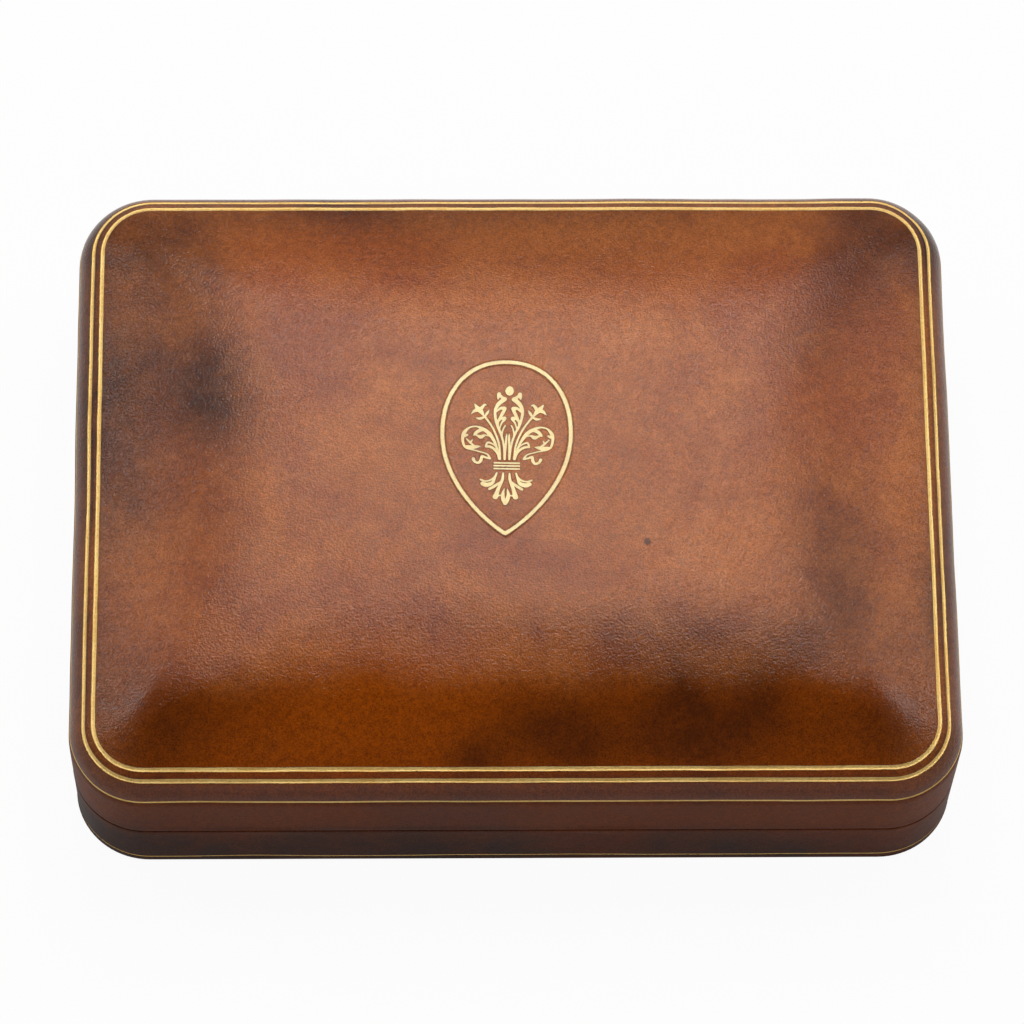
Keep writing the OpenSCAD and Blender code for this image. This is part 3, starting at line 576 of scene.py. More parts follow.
# Gold leaf
def closed_band(name, rows, shares):
    """A band round closed rows of points: out over its face and back under it, at shares of its width."""
    n = len(rows[0])
    faces = []
    for k in range(len(rows)):
        faces.extend(ring_faces(k * n, (k + 1) % len(rows) * n, n))
    obj = new_piece(name, np.concatenate(rows), faces)
    set_attribute(obj, "across", np.repeat([*shares, *shares[::-1]], n))
    return obj


def leaf_ring(name, surface):
    """Gold leaf along a groove; surface gives points at a share of its width, lifted off the leather."""
    shares = np.linspace(-LEAF_REACH, LEAF_REACH, 11)
    rows = [surface(share, LEAF_LIFT) for share in shares]
    rows += [surface(share, LEAF_LIFT - LEAF_T) for share in shares[::-1]]
    return closed_band(name, rows, shares)


def edge_leaf(name, line):
    def surface(share, lift):
        return edge_surface(line.turn + share * line.width / 2 / EDGE_R, lift)
    return leaf_ring(name, surface)


def base_leaf():
    def surface(share, lift):
        return base_wall_surface(BASE_LINE_Z + base_sway + share * base_width / 2, lift)
    return leaf_ring("base_side_line", surface)


# The emblem: a drop-shaped frame with a lily in it
def on_lid(x, y, lift):
    """Points on the crown from the emblem's own places."""
    c, s = math.cos(EMBLEM_TURN), math.sin(EMBLEM_TURN)
    px = EMBLEM_X + c * x - s * y
    py = EMBLEM_Y + s * x + c * y
    return np.stack([px, py, lid_top(px, py) + lift], 1)


def drop_outline(grow, steps=60):
    """The drop: a full round arch above, a pointed leaf below."""
    t = np.linspace(0, 1, steps + 1)
    half = DROP_HALF_W + grow
    above = np.stack([half * np.sin(math.pi / 2 * t) ** DROP_ARCH,
                      DROP_Y + (DROP_H * DROP_TOP_SHARE + grow) * np.cos(math.pi / 2 * t) ** DROP_ARCH], 1)
    below = np.stack([half * (1 - t * t) ** DROP_LEAF,
                      DROP_Y - (DROP_H * (1 - DROP_TOP_SHARE) + 1.25 * grow) * t], 1)
    right = np.concatenate([above, below[1:]])
    left = right[-2:0:-1] * [-1, 1]
    return np.concatenate([right, left])


def drop_band(name, width, lift, thick):
    """The drop's line, DROP_LINE_W wide inside its outline, or another width about the same middle."""
    shares = np.linspace(-1, 1, 7)
    lines = [drop_outline((share * width - DROP_LINE_W) / 2) for share in shares]
    rows = [on_lid(*line.T, lift) for line in lines]
    rows += [on_lid(*line.T, lift - thick) for line in lines[::-1]]
    return closed_band(name, rows, shares)


# Strokes of the lily's right half, in millimetres from its band: places along each and its width there
LILY_STROKES = [
    # Middle leaf: spike, rib with its crest and knob, and three lobes
    [(0.27, 8.17, 0.14), (0.3, 7.05, 0.52), (0.4, 4.95, 0.52), (0.5, 1.62, 0.47)],
    [(0.59, 1.62, 0.43), (0.84, 4.96, 0.52), (1.48, 7.57, 0.59), (2.54, 10.2, 0.69), (3.03, 12.19, 0.69),
     (3.04, 13.93, 0.78), (2.33, 15.41, 1.02), (1.1, 16.57, 1.16)],
    [(2.36, 17.84, 0.99), (2.47, 17.28, 0.83), (2.56, 16.6, 0.31)],
    [(2.15, 17.46, 0.71), (1.43, 16.82, 0.83)],
    [(1.04, 14.24, 1.09), (1.92, 14.26, 0.73), (2.8, 13.43, 0.47)],
    [(0.97, 14.01, 0.83), (1.7, 12.41, 0.78), (2.32, 11.06, 0.54), (2.29, 10.19, 0.36)],
    [(0.94, 11.8, 0.99), (1.78, 11.73, 0.71), (2.26, 10.94, 0.43)],
    [(0.89, 11.53, 0.69), (1.54, 10.55, 0.47), (1.89, 9.32, 0.38), (1.84, 8.7, 0.28)],
    [(0.69, 10.01, 0.4), (1.11, 9.11, 0.45), (1.35, 7.94, 0.45), (1.22, 7.07, 0.36)],
    # Side flower: stem, two sepals and three petals
    [(1.53, 1.64, 0.45), (1.85, 4.98, 0.5), (2.72, 7.72, 0.52), (3.77, 9.85, 0.52), (5.28, 12.05, 0.57)],
    [(5.41, 12.18, 0.47), (4.85, 13.07, 0.69), (4.4, 13.96, 0.12)],
    [(5.45, 12.09, 0.47), (6.42, 11.64, 0.73), (7.41, 11.81, 0.17)],
    [(5.66, 12.43, 0.43), (6.25, 13.38, 1.07), (6.91, 14.01, 1.3)],
    [(6.46, 13.88, 0.95), (5.86, 14.74, 0.73), (5.4, 15.13, 0.54), (4.93, 14.87, 0.09)],
    [(6.91, 14.01, 1.18), (7.39, 14.64, 0.78), (7.75, 15.21, 0.33)],
    [(6.91, 13.86, 1.07), (7.77, 13.53, 0.8), (8.63, 12.61, 0.09)],
    # Side petal: its scroll and the leaves inside it
    [(1.69, 1.65, 0.47), (2.38, 4.38, 0.57), (3.11, 6.25, 0.71), (4.4, 8.13, 0.99), (5.94, 9.21, 0.78),
     (7.39, 9.68, 0.47), (8.87, 9.27, 0.52), (9.88, 8.06, 0.88), (10.18, 6.64, 0.71), (9.86, 5.02, 0.62),
     (9.04, 4.2, 0.54), (7.59, 3.8, 0.4), (5.8, 3.31, 0.36), (4.47, 2.81, 0.43), (3.8, 1.81, 0.57)],
    [(5.61, 9.02, 0.83), (6.76, 8.49, 0.88), (7.4, 7.82, 0.76), (7.72, 7.48, 0.31)],
    [(4.14, 7.32, 0.21), (5.21, 7.53, 0.52), (6.01, 7.11, 0.99), (6.79, 7.37, 0.59), (7.41, 7.63, 0.36)],
    [(2.65, 4.69, 0.19), (3.47, 5.45, 0.43), (4.42, 5.75, 0.54), (4.81, 5.17, 0.54), (4.83, 4.74, 0.47)],
    [(4.85, 4.74, 0.59), (3.95, 4.66, 0.66), (2.96, 4.08, 0.64), (2.15, 2.89, 0.52), (1.8, 1.65, 0.45)],
    [(6.09, 4.76, 0.19), (7, 4.62, 0.78), (8.08, 4.47, 0.99), (9.14, 4.64, 0.71)],
    [(7.33, 4.72, 0.47), (8.43, 5.61, 0.54), (9.3, 6.56, 0.36)],
    [(8.02, 6.28, 0.36), (8.32, 5.73, 0.52)],
    [(9.18, 7.51, 0.59), (9.73, 7.25, 0.71)],
    # Curled end of the side petal
    [(3.81, 1.75, 0.59), (4.72, 1.98, 0.54), (5.67, 2.22, 0.69), (5.83, 1.36, 0.78), (6.4, 0.66, 0.69),
     (7.24, 0.96, 0.69), (7.57, 1.62, 0.85)],
    # Below the band: the petals of one side
    [(0.33, -5.58, 0.24), (0.61, -6.99, 0.83), (0.47, -8.21, 0.99), (0.01, -9.11, 1.07)],
    [(0.71, -1.85, 0.5), (0.86, -3.42, 0.71), (1.67, -5.61, 0.85), (2.27, -7.66, 1.23)],
    [(1.21, -3.78, 0.21), (2.26, -4.8, 0.71), (3.66, -5.72, 0.69)],
    [(2.18, -1.82, 0.5), (2.55, -2.77, 0.64), (3.45, -3.51, 0.52), (4.59, -3.81, 0.43),
     (5.76, -3.47, 0.47)],
    [(2.48, -3.02, 0.43), (3.14, -4.26, 0.85), (4.39, -4.72, 1.09), (5.28, -4.44, 1.02)],
    [(0.88, -7.22, 0.24), (1.56, -7.33, 0.47), (2.13, -7.57, 0.71)],
    # Three bars of the band
    [(0.0, 0.74, 0.44), (2.85, 0.74, 0.44)],
    [(0.0, 0.02, 0.44), (2.85, 0.02, 0.44)],
    [(0.0, -0.7, 0.44), (2.85, -0.7, 0.44)],
    # Bud at the top
    [(0.0, 17.55, 0.3), (0.0, 18.65, 1.95), (0.0, 19.75, 0.3)],
    [(0.0, 18.65, 1.5), (0.85, 18.65, 0.45)],
]
LILY_X = 0.13 * MM
LILY_LEAN = 0.0236
LILY_HALF_W = 11.6 * MM
LILY_FOOT = -10.6 * MM
LILY_TOP = 21 * MM


def smooth_through(knots, step):
    """Points of a smooth curve through the knots, about step apart."""
    knots = np.array(knots, float)
    ends = np.concatenate([[2 * knots[0] - knots[1]], knots, [2 * knots[-1] - knots[-2]]])
    parts = []
    for k in range(len(knots) - 1):
        a, b, c, d = ends[k:k + 4]
        count = max(2, int(np.linalg.norm(c[:2] - b[:2]) / step))
        t = np.linspace(0, 1, count, endpoint=False)[:, None]
        parts.append((a * (2 * t ** 2 - t - t ** 3) + b * (2 - 5 * t ** 2 + 3 * t ** 3)
                      + c * (t + 4 * t ** 2 - 3 * t ** 3) + d * (t ** 3 - t ** 2)) / 2)
    return np.concatenate([*parts, knots[-1:]])


def lily_field(x, y):
    """Distance outside the lily's strokes at each point, below 0 inside them."""
    field = np.full(x.shape, 1.0)
    for stroke in LILY_STROKES:
        for px, py, width in smooth_through(stroke, 0.12) * MM:
            field = np.minimum(field, np.hypot(np.abs(x) - px, y - py) - max(width, 0) / 2)
    return field


def lily_piece(name, extra, step, lift, thick):
    """The whole lily as one thin plate that follows the crown, wider than its strokes by extra."""
    columns = np.arange(-LILY_HALF_W, LILY_HALF_W, step)
    x, y = np.meshgrid(columns, np.arange(LILY_FOOT, LILY_TOP, step), indexing="ij")
    field = lily_field(x, y) - extra
    field = np.where(np.abs(field) < 0.03 * step, -0.03 * step, field)
    ids = {}
    flat, over, rim = [], [], []

    def vertex(key, px, py, value):
        if key not in ids:
            ids[key] = len(flat)
            flat.append((px, py, value))
        return ids[key]

    def crossing(p, q):
        """Point of the outline between two places of the grid."""
        p, q = min(p, q), max(p, q)
        share = field[p] / (field[p] - field[q])
        return vertex((p, q), x[p] + (x[q] - x[p]) * share, y[p] + (y[q] - y[p]) * share, 0.0)

    inside = field < 0
    near = inside[:-1, :-1] | inside[1:, :-1] | inside[:-1, 1:] | inside[1:, 1:]
    for i, j in np.argwhere(near).tolist():
        a, b, c, d = (i, j), (i + 1, j), (i + 1, j + 1), (i, j + 1)
        for tri in ((a, b, c), (a, c, d)):
            face, cuts = [], {}
            for k in range(3):
                p, q = tri[k], tri[(k + 1) % 3]
                if inside[p]:
                    face.append(vertex(p, x[p], y[p], field[p]))
                if inside[p] != inside[q]:
                    face.append(crossing(p, q))
                    cuts[bool(inside[p])] = face[-1]
            if face:
                over.append(tuple(face))
            if cuts:
                rim.append((cuts[False], cuts[True]))
    px, py, values = np.array(flat).T
    px = LILY_X + px + LILY_LEAN * py
    count = len(px)
    faces = over + [tuple(v + count for v in f[::-1]) for f in over]
    faces += [(a, b, b + count, a + count) for a, b in rim]
    obj = new_piece(name, np.concatenate([on_lid(px, py, lift), on_lid(px, py, lift - thick)]), faces)
    across = np.clip(1 + values / (0.25 * MM), 0, 1)
    set_attribute(obj, "across", np.concatenate([across, across]))
    return obj


# Linings and cushions
def lining_ring(name, low, high, open_top):
    """A suede-covered board round the sides, rounded at its free edge."""
    shell = Shell()
    nap = Waves(41, 9 * MM, 3 * MM)
    free, fixed, way = (high, low, -1) if open_top else (low, high, 1)
    edge = way * LINING_EDGE_R
    shell.add(level(LINING_OUT_D, fixed))
    round_edge(shell, LINING_OUT_D, free, LINING_EDGE_R, edge, arc(5, 0, math.pi / 2))
    round_edge(shell, LINING_IN_D, free, -LINING_EDGE_R, edge, arc(5, math.pi / 2, 0))
    for z in np.linspace(free + edge, fixed, 14)[1:]:
        shell.add(level(LINING_IN_D, z, out=-0.03 * MM * nap(level(LINING_IN_D, z))))
    shell.join_ends()
    return shell.piece(name)


def cushion(name, seat_z, way, seed):
    """A thin cushion whose face swells from its drawn-in edge; way is 1 where it faces up."""
    ripple = Waves(seed, 40 * MM, 12 * MM)
    face_z = seat_z + way * PAD_T

    def height(x, y):
        inset = np.minimum(CASE_W / 2 - PAD_D - np.abs(x), CASE_D / 2 - PAD_D - np.abs(y))
        far = np.clip(inset / (MIDDLE_D - PAD_D), 0, 1)
        rise = PAD_CROWN * (1 - (1 - far) ** 3)
        soft = 0.1 * MM * ripple.over(x, y) * np.clip(inset / (6 * MM), 0, 1)
        return face_z + way * (rise + soft)

    shell = Shell()
    for inset, share in PAD_SIDE:
        shell.add(level(PAD_D + inset * PAD_DRAW, seat_z + way * PAD_T * share))
    shell.fill(shell.last, height, way > 0)
    shell.fill(0, lambda x, y: np.full(x.shape, seat_z), way < 0)
    return shell.piece(name)


def lid_wadding():
    """Cotton wadding between the top board and the crown's leather."""
    tufts = Waves(51, 9 * MM, 2.5 * MM, 20)
    under = LEATHER_T + GLUE_GAP + WADDING_GAP
    edge_d = CROWN_D + 3 * MM
    bottom = BOARD_TOP_Z + 0.1 * MM
    top_z = float(crown_height(edge_d)) - under

    def height(x, y):
        return crown_height(level_at(x, y)) - under + 0.1 * MM * tufts.over(x, y)

    shell = Shell()
    r = float(crown_radius(edge_d))
    shell.add(level(edge_d, bottom, r))
    shell.add(level(edge_d, top_z, r))
    shell.fill(shell.last, height, True)
    shell.fill(0, lambda x, y: np.full(x.shape, bottom), False)
    return shell.piece("lid_padding")


# Materials: small helpers over Blender's shader nodes
class Material:
    def __init__(self, name):
        self.material = bpy.data.materials.new(name)
        self.material.use_nodes = True
        self.tree = self.material.node_tree
        self.tree.nodes.clear()
        self.output = self.add("ShaderNodeOutputMaterial")
        self.shader = self.add("ShaderNodeBsdfPrincipled")
        self.put(self.output.inputs["Surface"], self.shader.outputs[0])
        self.place = self.add("ShaderNodeTexCoord").outputs["Object"]

    def add(self, kind, inputs=None, **settings):
        """A new node, with sockets or values for its inputs by name or place."""
        made = self.tree.nodes.new(kind)
        for key, value in settings.items():
            setattr(made, key, value)
        for key, value in (inputs or {}).items():
            self.put(made.inputs[key], value)
        return made

    def put(self, target, value):
        if isinstance(value, bpy.types.NodeSocket):
            self.tree.links.new(value, target)
        else:
            target.default_value = value

    def noise(self, scale, detail=2.0, rough=0.5, warp=0.0, place=None):
        place = place or self.place
        inputs = {"Vector": place, "Scale": scale, "Detail": detail, "Roughness": rough, "Distortion": warp}
        return self.add("ShaderNodeTexNoise", inputs).outputs["Fac"]

    def cells(self, scale, place):
        made = self.add("ShaderNodeTexVoronoi", {"Vector": place, "Scale": scale}, feature="SMOOTH_F1")
        return made.outputs["Distance"]

    def ridges(self, scale, detail, warp, place):
        """Distance from winding lines, 0 on them."""
        waves = self.noise(scale, detail, 0.5, warp, place)
        return self.math("ABSOLUTE", self.math("SUBTRACT", waves, 0.5))

    def spot(self, place, radius):
        """A ragged spot, darkest inside it."""
        inputs = {0: self.warped(radius, 0.6 / radius), 1: [v + radius / 2 for v in place]}
        far = self.add("ShaderNodeVectorMath", inputs, operation="DISTANCE").outputs["Value"]
        return self.span(far, radius * 0.5, radius, 0.8, 0.0)

    def attribute(self, name):
        return self.add("ShaderNodeAttribute", attribute_name=name).outputs["Fac"]

    def sum(self, *terms):
        """Adds socket times weight terms."""
        total = None
        for value, weight in terms:
            scaled = self.math("MULTIPLY", value, weight)
            total = scaled if total is None else self.math("ADD", total, scaled)
        return total

    def math(self, operation, a, b=0.0, clamp=False):
        return self.add("ShaderNodeMath", {0: a, 1: b}, operation=operation, use_clamp=clamp).outputs[0]

    def span(self, value, low, high, to_low=0.0, to_high=1.0):
        """Takes low to high smoothly to another range."""
        inputs = {"Value": value, "From Min": low, "From Max": high, "To Min": to_low, "To Max": to_high}
        return self.add("ShaderNodeMapRange", inputs, interpolation_type="SMOOTHSTEP").outputs["Result"]

    def mix(self, share, a, b, blend="MIX"):
        """Goes from a to b by share; each is a socket or a colour."""
        a, b = ((*v, 1) if isinstance(v, tuple) else v for v in (a, b))
        return self.add("ShaderNodeMix", {0: share, 6: a, 7: b}, data_type="RGBA", blend_type=blend).outputs[2]

    def warped(self, amount, scale, stretch=(1, 1, 1)):
        """Coordinates stretched, then pushed about by noise."""
        mapping = self.add("ShaderNodeMapping", {"Vector": self.place, "Scale": stretch})
        cloud = self.add("ShaderNodeTexNoise", {"Vector": self.place, "Scale": scale})
        inputs = {0: cloud.outputs["Color"], 1: [amount] * 3, 2: mapping.outputs["Vector"]}
        return self.add("ShaderNodeVectorMath", inputs, operation="MULTIPLY_ADD").outputs["Vector"]

    def bump(self, height, depth):
        made = self.add("ShaderNodeBump", {"Height": height, "Strength": 1.0, "Distance": depth})
        return made.outputs["Normal"]

    def set(self, **values):
        for key, value in values.items():
            self.put(self.shader.inputs[key.replace("_", " ")], value)
        return self.material


DEEP = (0.030, 0.006, 0.001)
SIDE_DEEP = (0.040, 0.014, 0.008)
BROWN = (0.300, 0.066, 0.011)
SADDLE = (0.450, 0.124, 0.018)
AMBER = (0.270, 0.050, 0.000)

# Dark nicks in the leather: place and radius
NICKS = [
    ((29.5 * MM, -18.2 * MM, 52.4 * MM), 1.1 * MM),
    ((96.8 * MM, 22.5 * MM, 43.0 * MM), 0.9 * MM),
]


def leather_material(name, gloss, smooth, deep):
    m = Material(name)
    cloud = m.noise(17, 4, 0.5, 0.4)
    mottle = m.noise(75, 5, 0.6, 0.5)
    speck = m.noise(560, 4, 0.6)
    pebble = m.cells(2200, m.warped(0.0004, 900))
    fine = m.noise(3600, 2, 0.5)
    crinkle = m.span(m.ridges(1500, 2, 0.9, m.warped(0.0010, 250)), 0.0, 0.20)
    drawn = m.span(m.ridges(190, 3, 1.2, m.warped(0.004, 60, (1.0, 1.6, 1))), 0.0, 0.09)
    peel = m.noise(260, 2, 0.5)
    tone = m.sum((cloud, 0.60), (mottle, 0.40))
    colour = m.mix(m.span(tone, 0.34, 0.60), BROWN, SADDLE)
    # Amber tone, which on the front slope is partly painted shade
    ambered = m.math("MULTIPLY", m.attribute("amber"), m.span(mottle, 0.10, 0.50, 0.80, 1.0), True)
    colour = m.mix(ambered, colour, AMBER)
    # Darkened toward the deep colour: the leather's patina together with painted shade
    darkness = m.math("MULTIPLY", m.attribute("patina_and_shade"), m.span(tone, 0.62, 0.38, 0.68, 1.0), True)
    colour = m.mix(darkness, colour, deep)
    grain = m.sum((speck, 0.30), (pebble, 0.22), (fine, 0.55))
    speckle = m.mix(m.span(grain, 0.32, 0.70), (0.56, 0.54, 0.52), (1.38, 1.40, 1.42))
    colour = m.mix(1.0, colour, speckle, "MULTIPLY")
    for place, radius in NICKS:
        colour = m.mix(m.spot(place, radius), colour, DEEP)
    colour = m.mix(m.attribute("shade"), colour, DEEP)
    rough = m.sum((mottle, 0.10), (m.attribute("amber"), -0.04))
    relief = m.sum((pebble, 0.66), (fine, 0.24), (crinkle, 0.16), (drawn, 0.10), (peel, 0.25))
    height = m.math("MULTIPLY", relief, m.span(m.attribute("amber"), 0.3, 1.0, 1.0, 0.45))
    return m.set(
        Base_Color=colour,
        Roughness=m.math("ADD", rough, smooth),
        Specular_IOR_Level=gloss,
        Normal=m.bump(height, 0.00012),
    )


def gold_material(name, light, dark, wear_from):
    m = Material(name)
    edge = m.math("ABSOLUTE", m.attribute("across"))
    wear = m.noise(1700, 5, 0.7)
    patch = m.noise(70, 3, 0.6)
    lost = m.sum((edge, 0.55), (wear, 0.65), (patch, 0.35))
    bare = m.span(lost, wear_from, wear_from + 0.14)
    colour = m.mix(m.span(m.sum((patch, 0.4), (wear, 0.6)), 0.36, 0.62), dark, light)
    colour = m.mix(bare, colour, (0.14, 0.045, 0.015))
    height = m.sum((m.noise(2400, 4, 0.65), 0.8), (bare, -0.5))
    return m.set(
        Base_Color=colour,
        Metallic=m.span(bare, 0.2, 0.8, 0.9, 0.0),
        Roughness=m.span(wear, 0.3, 0.7, 0.40, 0.55),
        Normal=m.bump(height, 0.00017),
    )


def suede_material(name, light, dark):
    m = Material(name)
    brushed = m.noise(30, 5, 0.6, 0.3, m.warped(0.01, 30, (0.7, 1.3, 1)))
    nap = m.noise(1400, 4, 0.7)
    colour = m.mix(m.span(brushed, 0.25, 0.75), dark, light)
    colour = m.mix(m.span(nap, 0.3, 0.7, 0.0, 0.35), colour, dark)
    return m.set(
        Base_Color=colour,
        Roughness=0.95,
        Specular_IOR_Level=0.1,
        Sheen_Weight=0.5,
        Sheen_Roughness=0.4,
        Sheen_Tint=(1.0, 0.9, 0.8, 1.0),
        Normal=m.bump(nap, 0.00018),
    )


def wood_material():
    m = Material("wood")
    rings = m.noise(30, 4, 0.6, 0.5, m.warped(0.003, 20, (0.12, 1, 1)))
    pores = m.noise(600, 3, 0.6, 0.0, m.warped(0.0, 20, (0.05, 1, 1)))
    colour = m.mix(m.span(rings, 0.35, 0.65), (0.42, 0.26, 0.13), (0.60, 0.41, 0.23))
    colour = m.mix(m.span(pores, 0.55, 0.75, 0.0, 0.5), colour, (0.28, 0.16, 0.08))
    return m.set(Base_Color=colour, Roughness=0.65, Normal=m.bump(pores, 0.00006))


def wadding_material():
    m = Material("wadding")
    fibre = m.noise(500, 6, 0.75, 2.0, m.warped(0.002, 200))
    colour = m.mix(m.span(fibre, 0.3, 0.7), (0.62, 0.58, 0.50), (0.80, 0.78, 0.72))
    return m.set(Base_Color=colour, Roughness=1.0, Sheen_Weight=0.4, Normal=m.bump(fibre, 0.0004))


def brass_material():
    m = Material("brass")
    tarnish = m.noise(160, 5, 0.65, 0.5)
    scuff = m.noise(900, 3, 0.6, 0.0, m.warped(0.0, 20, (0.15, 1, 1)))
    colour = m.mix(m.span(tarnish, 0.42, 0.68), (0.78, 0.56, 0.25), (0.42, 0.27, 0.11))
    rough = m.sum((tarnish, 0.25), (scuff, 0.15))
    rough = m.math("ADD", rough, 0.16)
    return m.set(Base_Color=colour, Metallic=1.0, Roughness=rough, Normal=m.bump(scuff, 0.00003))


# Soft darker patches of the leather, partly its own mottled patina and partly painted shade on the crown's
# slopes, sides and back where less light is reflected, then amber patches: middle x and y, half widths in mm,
# turn in degrees and strength
DARK_AND_SHADE_PATCHES = [
    (-67, 15, 9, 10, 30, 0.6),
    (-72, 48, 9, 18, 0, 0.42),
    (-70, 26, 9, 12, 0, 0.4),
    (-66, -10, 12, 26, 0, 0.22),
    (-86, 28, 13, 30, 0, 0.6),
    (-85, 58, 14, 10, 0, 0.5),
    (-87, -8, 10, 15, 0, 0.3),
    (-74, -58, 12, 8, 20, 0.22),
    (-90, -48, 14, 12, 0, 0.3),
    (-58, -52, 12, 10, 0, 0.2),
    (-84, -64, 13, 13, 0, 0.55),
    (-42, -40, 16, 6, 5, 0.1),
    (-92, 0, 9, 60, 0, 0.22),
    (74, -22, 10, 20, -10, 0.45),
    (67, -12, 8, 20, 0, 0.25),
    (95, -28, 5, 14, 0, 0.45),
    (97, 10, 4, 30, 0, 0.25),
    (72, 46, 7, 13, 0, 0.3),
    (80, 50, 8, 14, 0, 0.22),
    (88, 60, 15, 14, 0, 0.5),
    (25, 57, 42, 8, 0, 0.2),
    (-20, 68, 62, 6, 0, 0.22),
    (0, 69, 100, 12, 0, 0.36),
    (22, -38, 30, 7, 2, 0.3),
    (-10, -36, 18, 5, 0, 0.12),
    (8, -58, 15, 10, 0, 0.45),
    (36, -61, 12, 9, 0, 0.9),
    (38, -47, 16, 9, 0, 0.35),
    (54, -54, 6, 9, 15, 0.42),
    (60, -62, 12, 7, 0, 0.25),
    (48, -60, 60, 14, 0, 0.22),
    (14, -64, 11, 6, 0, 0.45),
    (-10, -67, 6, 4, 0, 0.5),
    (84, -63, 13, 8, 0, 0.45),
    (74, -34, 9, 10, 0, 0.22),
    (88, -42, 10, 14, 0, 0.15),
    (58, -44, 40, 10, 0, 0.26),
    (4, -61, 12, 7, 0, 0.3),
    (46, -62, 7, 7, 0, 0.25),
    (60, -43, 8, 7, 0, 0.28),
    (80, -58, 12, 8, 0, 0.25),
    (-68, -59, 14, 8, 0, 0.28),
    (-93, 28, 6, 12, 0, 0.25),
    (-63, 26, 7, 9, 0, 0.22),
    (67, 31, 7, 9, 0, 0.3),
    (93, -31, 5, 12, 0, 0.15),
    (0, 51, 25, 8, 0, 0.14),
    (0, 69, 90, 6, 0, 0.12),
]
AMBER_PATCHES = [
    (-45, -61, 24, 9, 2, 1.0),
    (30, -66, 12, 5, 2, 0.6),
    (30, 50, 36, 8, -3, 0.4),
    (76, 18, 8, 12, 0, 0.3),
    (-30, 58, 30, 8, 0, 0.4),
    (-90, -35, 8, 20, 0, 0.4),
    (-68, -20, 7, 24, 0, 0.4),
]


# In millimetres: heights below which the wall, the base and its foot are painted darker, partly their own tone
# and partly painted shade, places beyond which the front turns amber and the sides take painted shade, and how
# far in from the wall the painted shade along the crown's rim reaches
WALL_FROM = 43
BASE_FROM = 24
FOOT_FROM = 20
FRONT_FROM = 42
SIDE_SHADE_FROM = 88
RIM_SHADE_FADE = 8


def patches(x, y, chosen):
    """How strong the chosen patches are together at each place, 0 to 1."""
    total = np.zeros(len(x))
    for middle_x, middle_y, half_x, half_y, turn, strength in chosen:
        c, s = math.cos(math.radians(turn)), math.sin(math.radians(turn))
        dx, dy = x - middle_x, y - middle_y
        u = (dx * c + dy * s) / half_x
        v = (dy * c - dx * s) / half_y
        total += strength * np.exp(-(u * u + v * v))
    return np.clip(total, 0, 1)


def paint_leather(obj, shade=None):
    """Sets each point's darkening (partly patina, partly painted shade), its amber tone (partly painted shade
    on the front) and the painted shade beside the tooling, from its place.
    """
    points = points_of(obj)
    x, y, z = points.T / MM
    far = np.where(points[:, 2] > CROWN_Z - 1 * MM, level_at(points[:, 0], points[:, 1]), 0) / MM
    wall = np.clip((WALL_FROM - z) / 5, 0, 1)
    base = np.clip((BASE_FROM - z) / 3, 0, 1)
    foot = np.clip((FOOT_FROM - z) / 18, 0, 1)
    # The front slope turns amber: partly the leather's own tone, partly painted shade where it faces away from
    # the lamps
    front = ease((-y - FRONT_FROM - 3 * edge_waves(points)) / 13)
    front = front * np.clip((CASE_W / 2 / MM - np.abs(x)) / 20, 0.3, 1)
    # Painted shade on the rounded sides and along the crown's rim near the wall
    side = ease((np.abs(x) - SIDE_SHADE_FROM) / 8)
    rim = (0.30 + 0.25 * side) * np.exp(-(far / RIM_SHADE_FADE) ** 2)
    # Dark patches (patina and painted shade), the rim's painted shade, and walls painted darker down to the
    # foot, partly their own tone and partly painted shade
    dark = patches(x, y, DARK_AND_SHADE_PATCHES) * (1 - 0.8 * wall)
    dark = dark + rim * (1 - wall) + wall * (0.64 + 0.20 * base + 0.30 * foot)
    amber = np.maximum(patches(x, y, AMBER_PATCHES) * (1 - wall), np.maximum(front, 0.9 * wall))
    set_attribute(obj, "patina_and_shade", np.clip(dark, 0, 1))
    set_attribute(obj, "amber", np.clip(amber, 0, 1))
    set_attribute(obj, "shade", np.zeros(len(points)) if shade is None else shade)


def dress(obj, material, body=None, nodes=()):
    obj.data.materials.clear()
    obj.data.materials.append(material)
    if body:
        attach(obj, body)
    if nodes:
        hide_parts(*nodes)


leather = leather_material("leather", 0.32, 0.10, DEEP)
side_leather = leather_material("side_leather", 0.06, 0.44, SIDE_DEEP)
gold = gold_material("gold_leaf", (0.92, 0.66, 0.25), (0.70, 0.42, 0.12), 0.95)
# The emblem's gold is painted paler than the lines' gold, as a painted highlight of the lamps on it
highlit_gold = gold_material("highlit_gold_leaf", (0.80, 0.67, 0.37), (0.68, 0.50, 0.25), 0.95)
suede = suede_material("suede", (0.48, 0.31, 0.18), (0.38, 0.235, 0.13))
underside_suede = suede_material("underside_suede", (0.30, 0.18, 0.10), (0.20, 0.115, 0.06))
wood = wood_material()
wadding = wadding_material()
brass = brass_material()

lid = lid_cover()
paint_leather(lid)
dress(lid, leather, "lid", ["lid_leather"])
lid.data.materials.append(side_leather)
for face in lid.data.polygons:
    face.material_index = int(face.center.z < EDGE_Z + LID_LINE_RISE)
base = base_cover()
paint_leather(base)
dress(base, side_leather, "base", ["base_leather"])

edge_leaves = [
    ("lid_fillet_outer", OUTER_LINE, "lid_outer_fillet"),
    ("lid_fillet_inner", INNER_LINE, "lid_inner_fillet"),
    ("lid_side_line", SIDE_LINE, "lid_side_gold_line"),
]
for name, line, node in edge_leaves:
    dress(edge_leaf(name, line), gold, "lid", [node])
dress(base_leaf(), gold, "base", ["base_gold_line"])

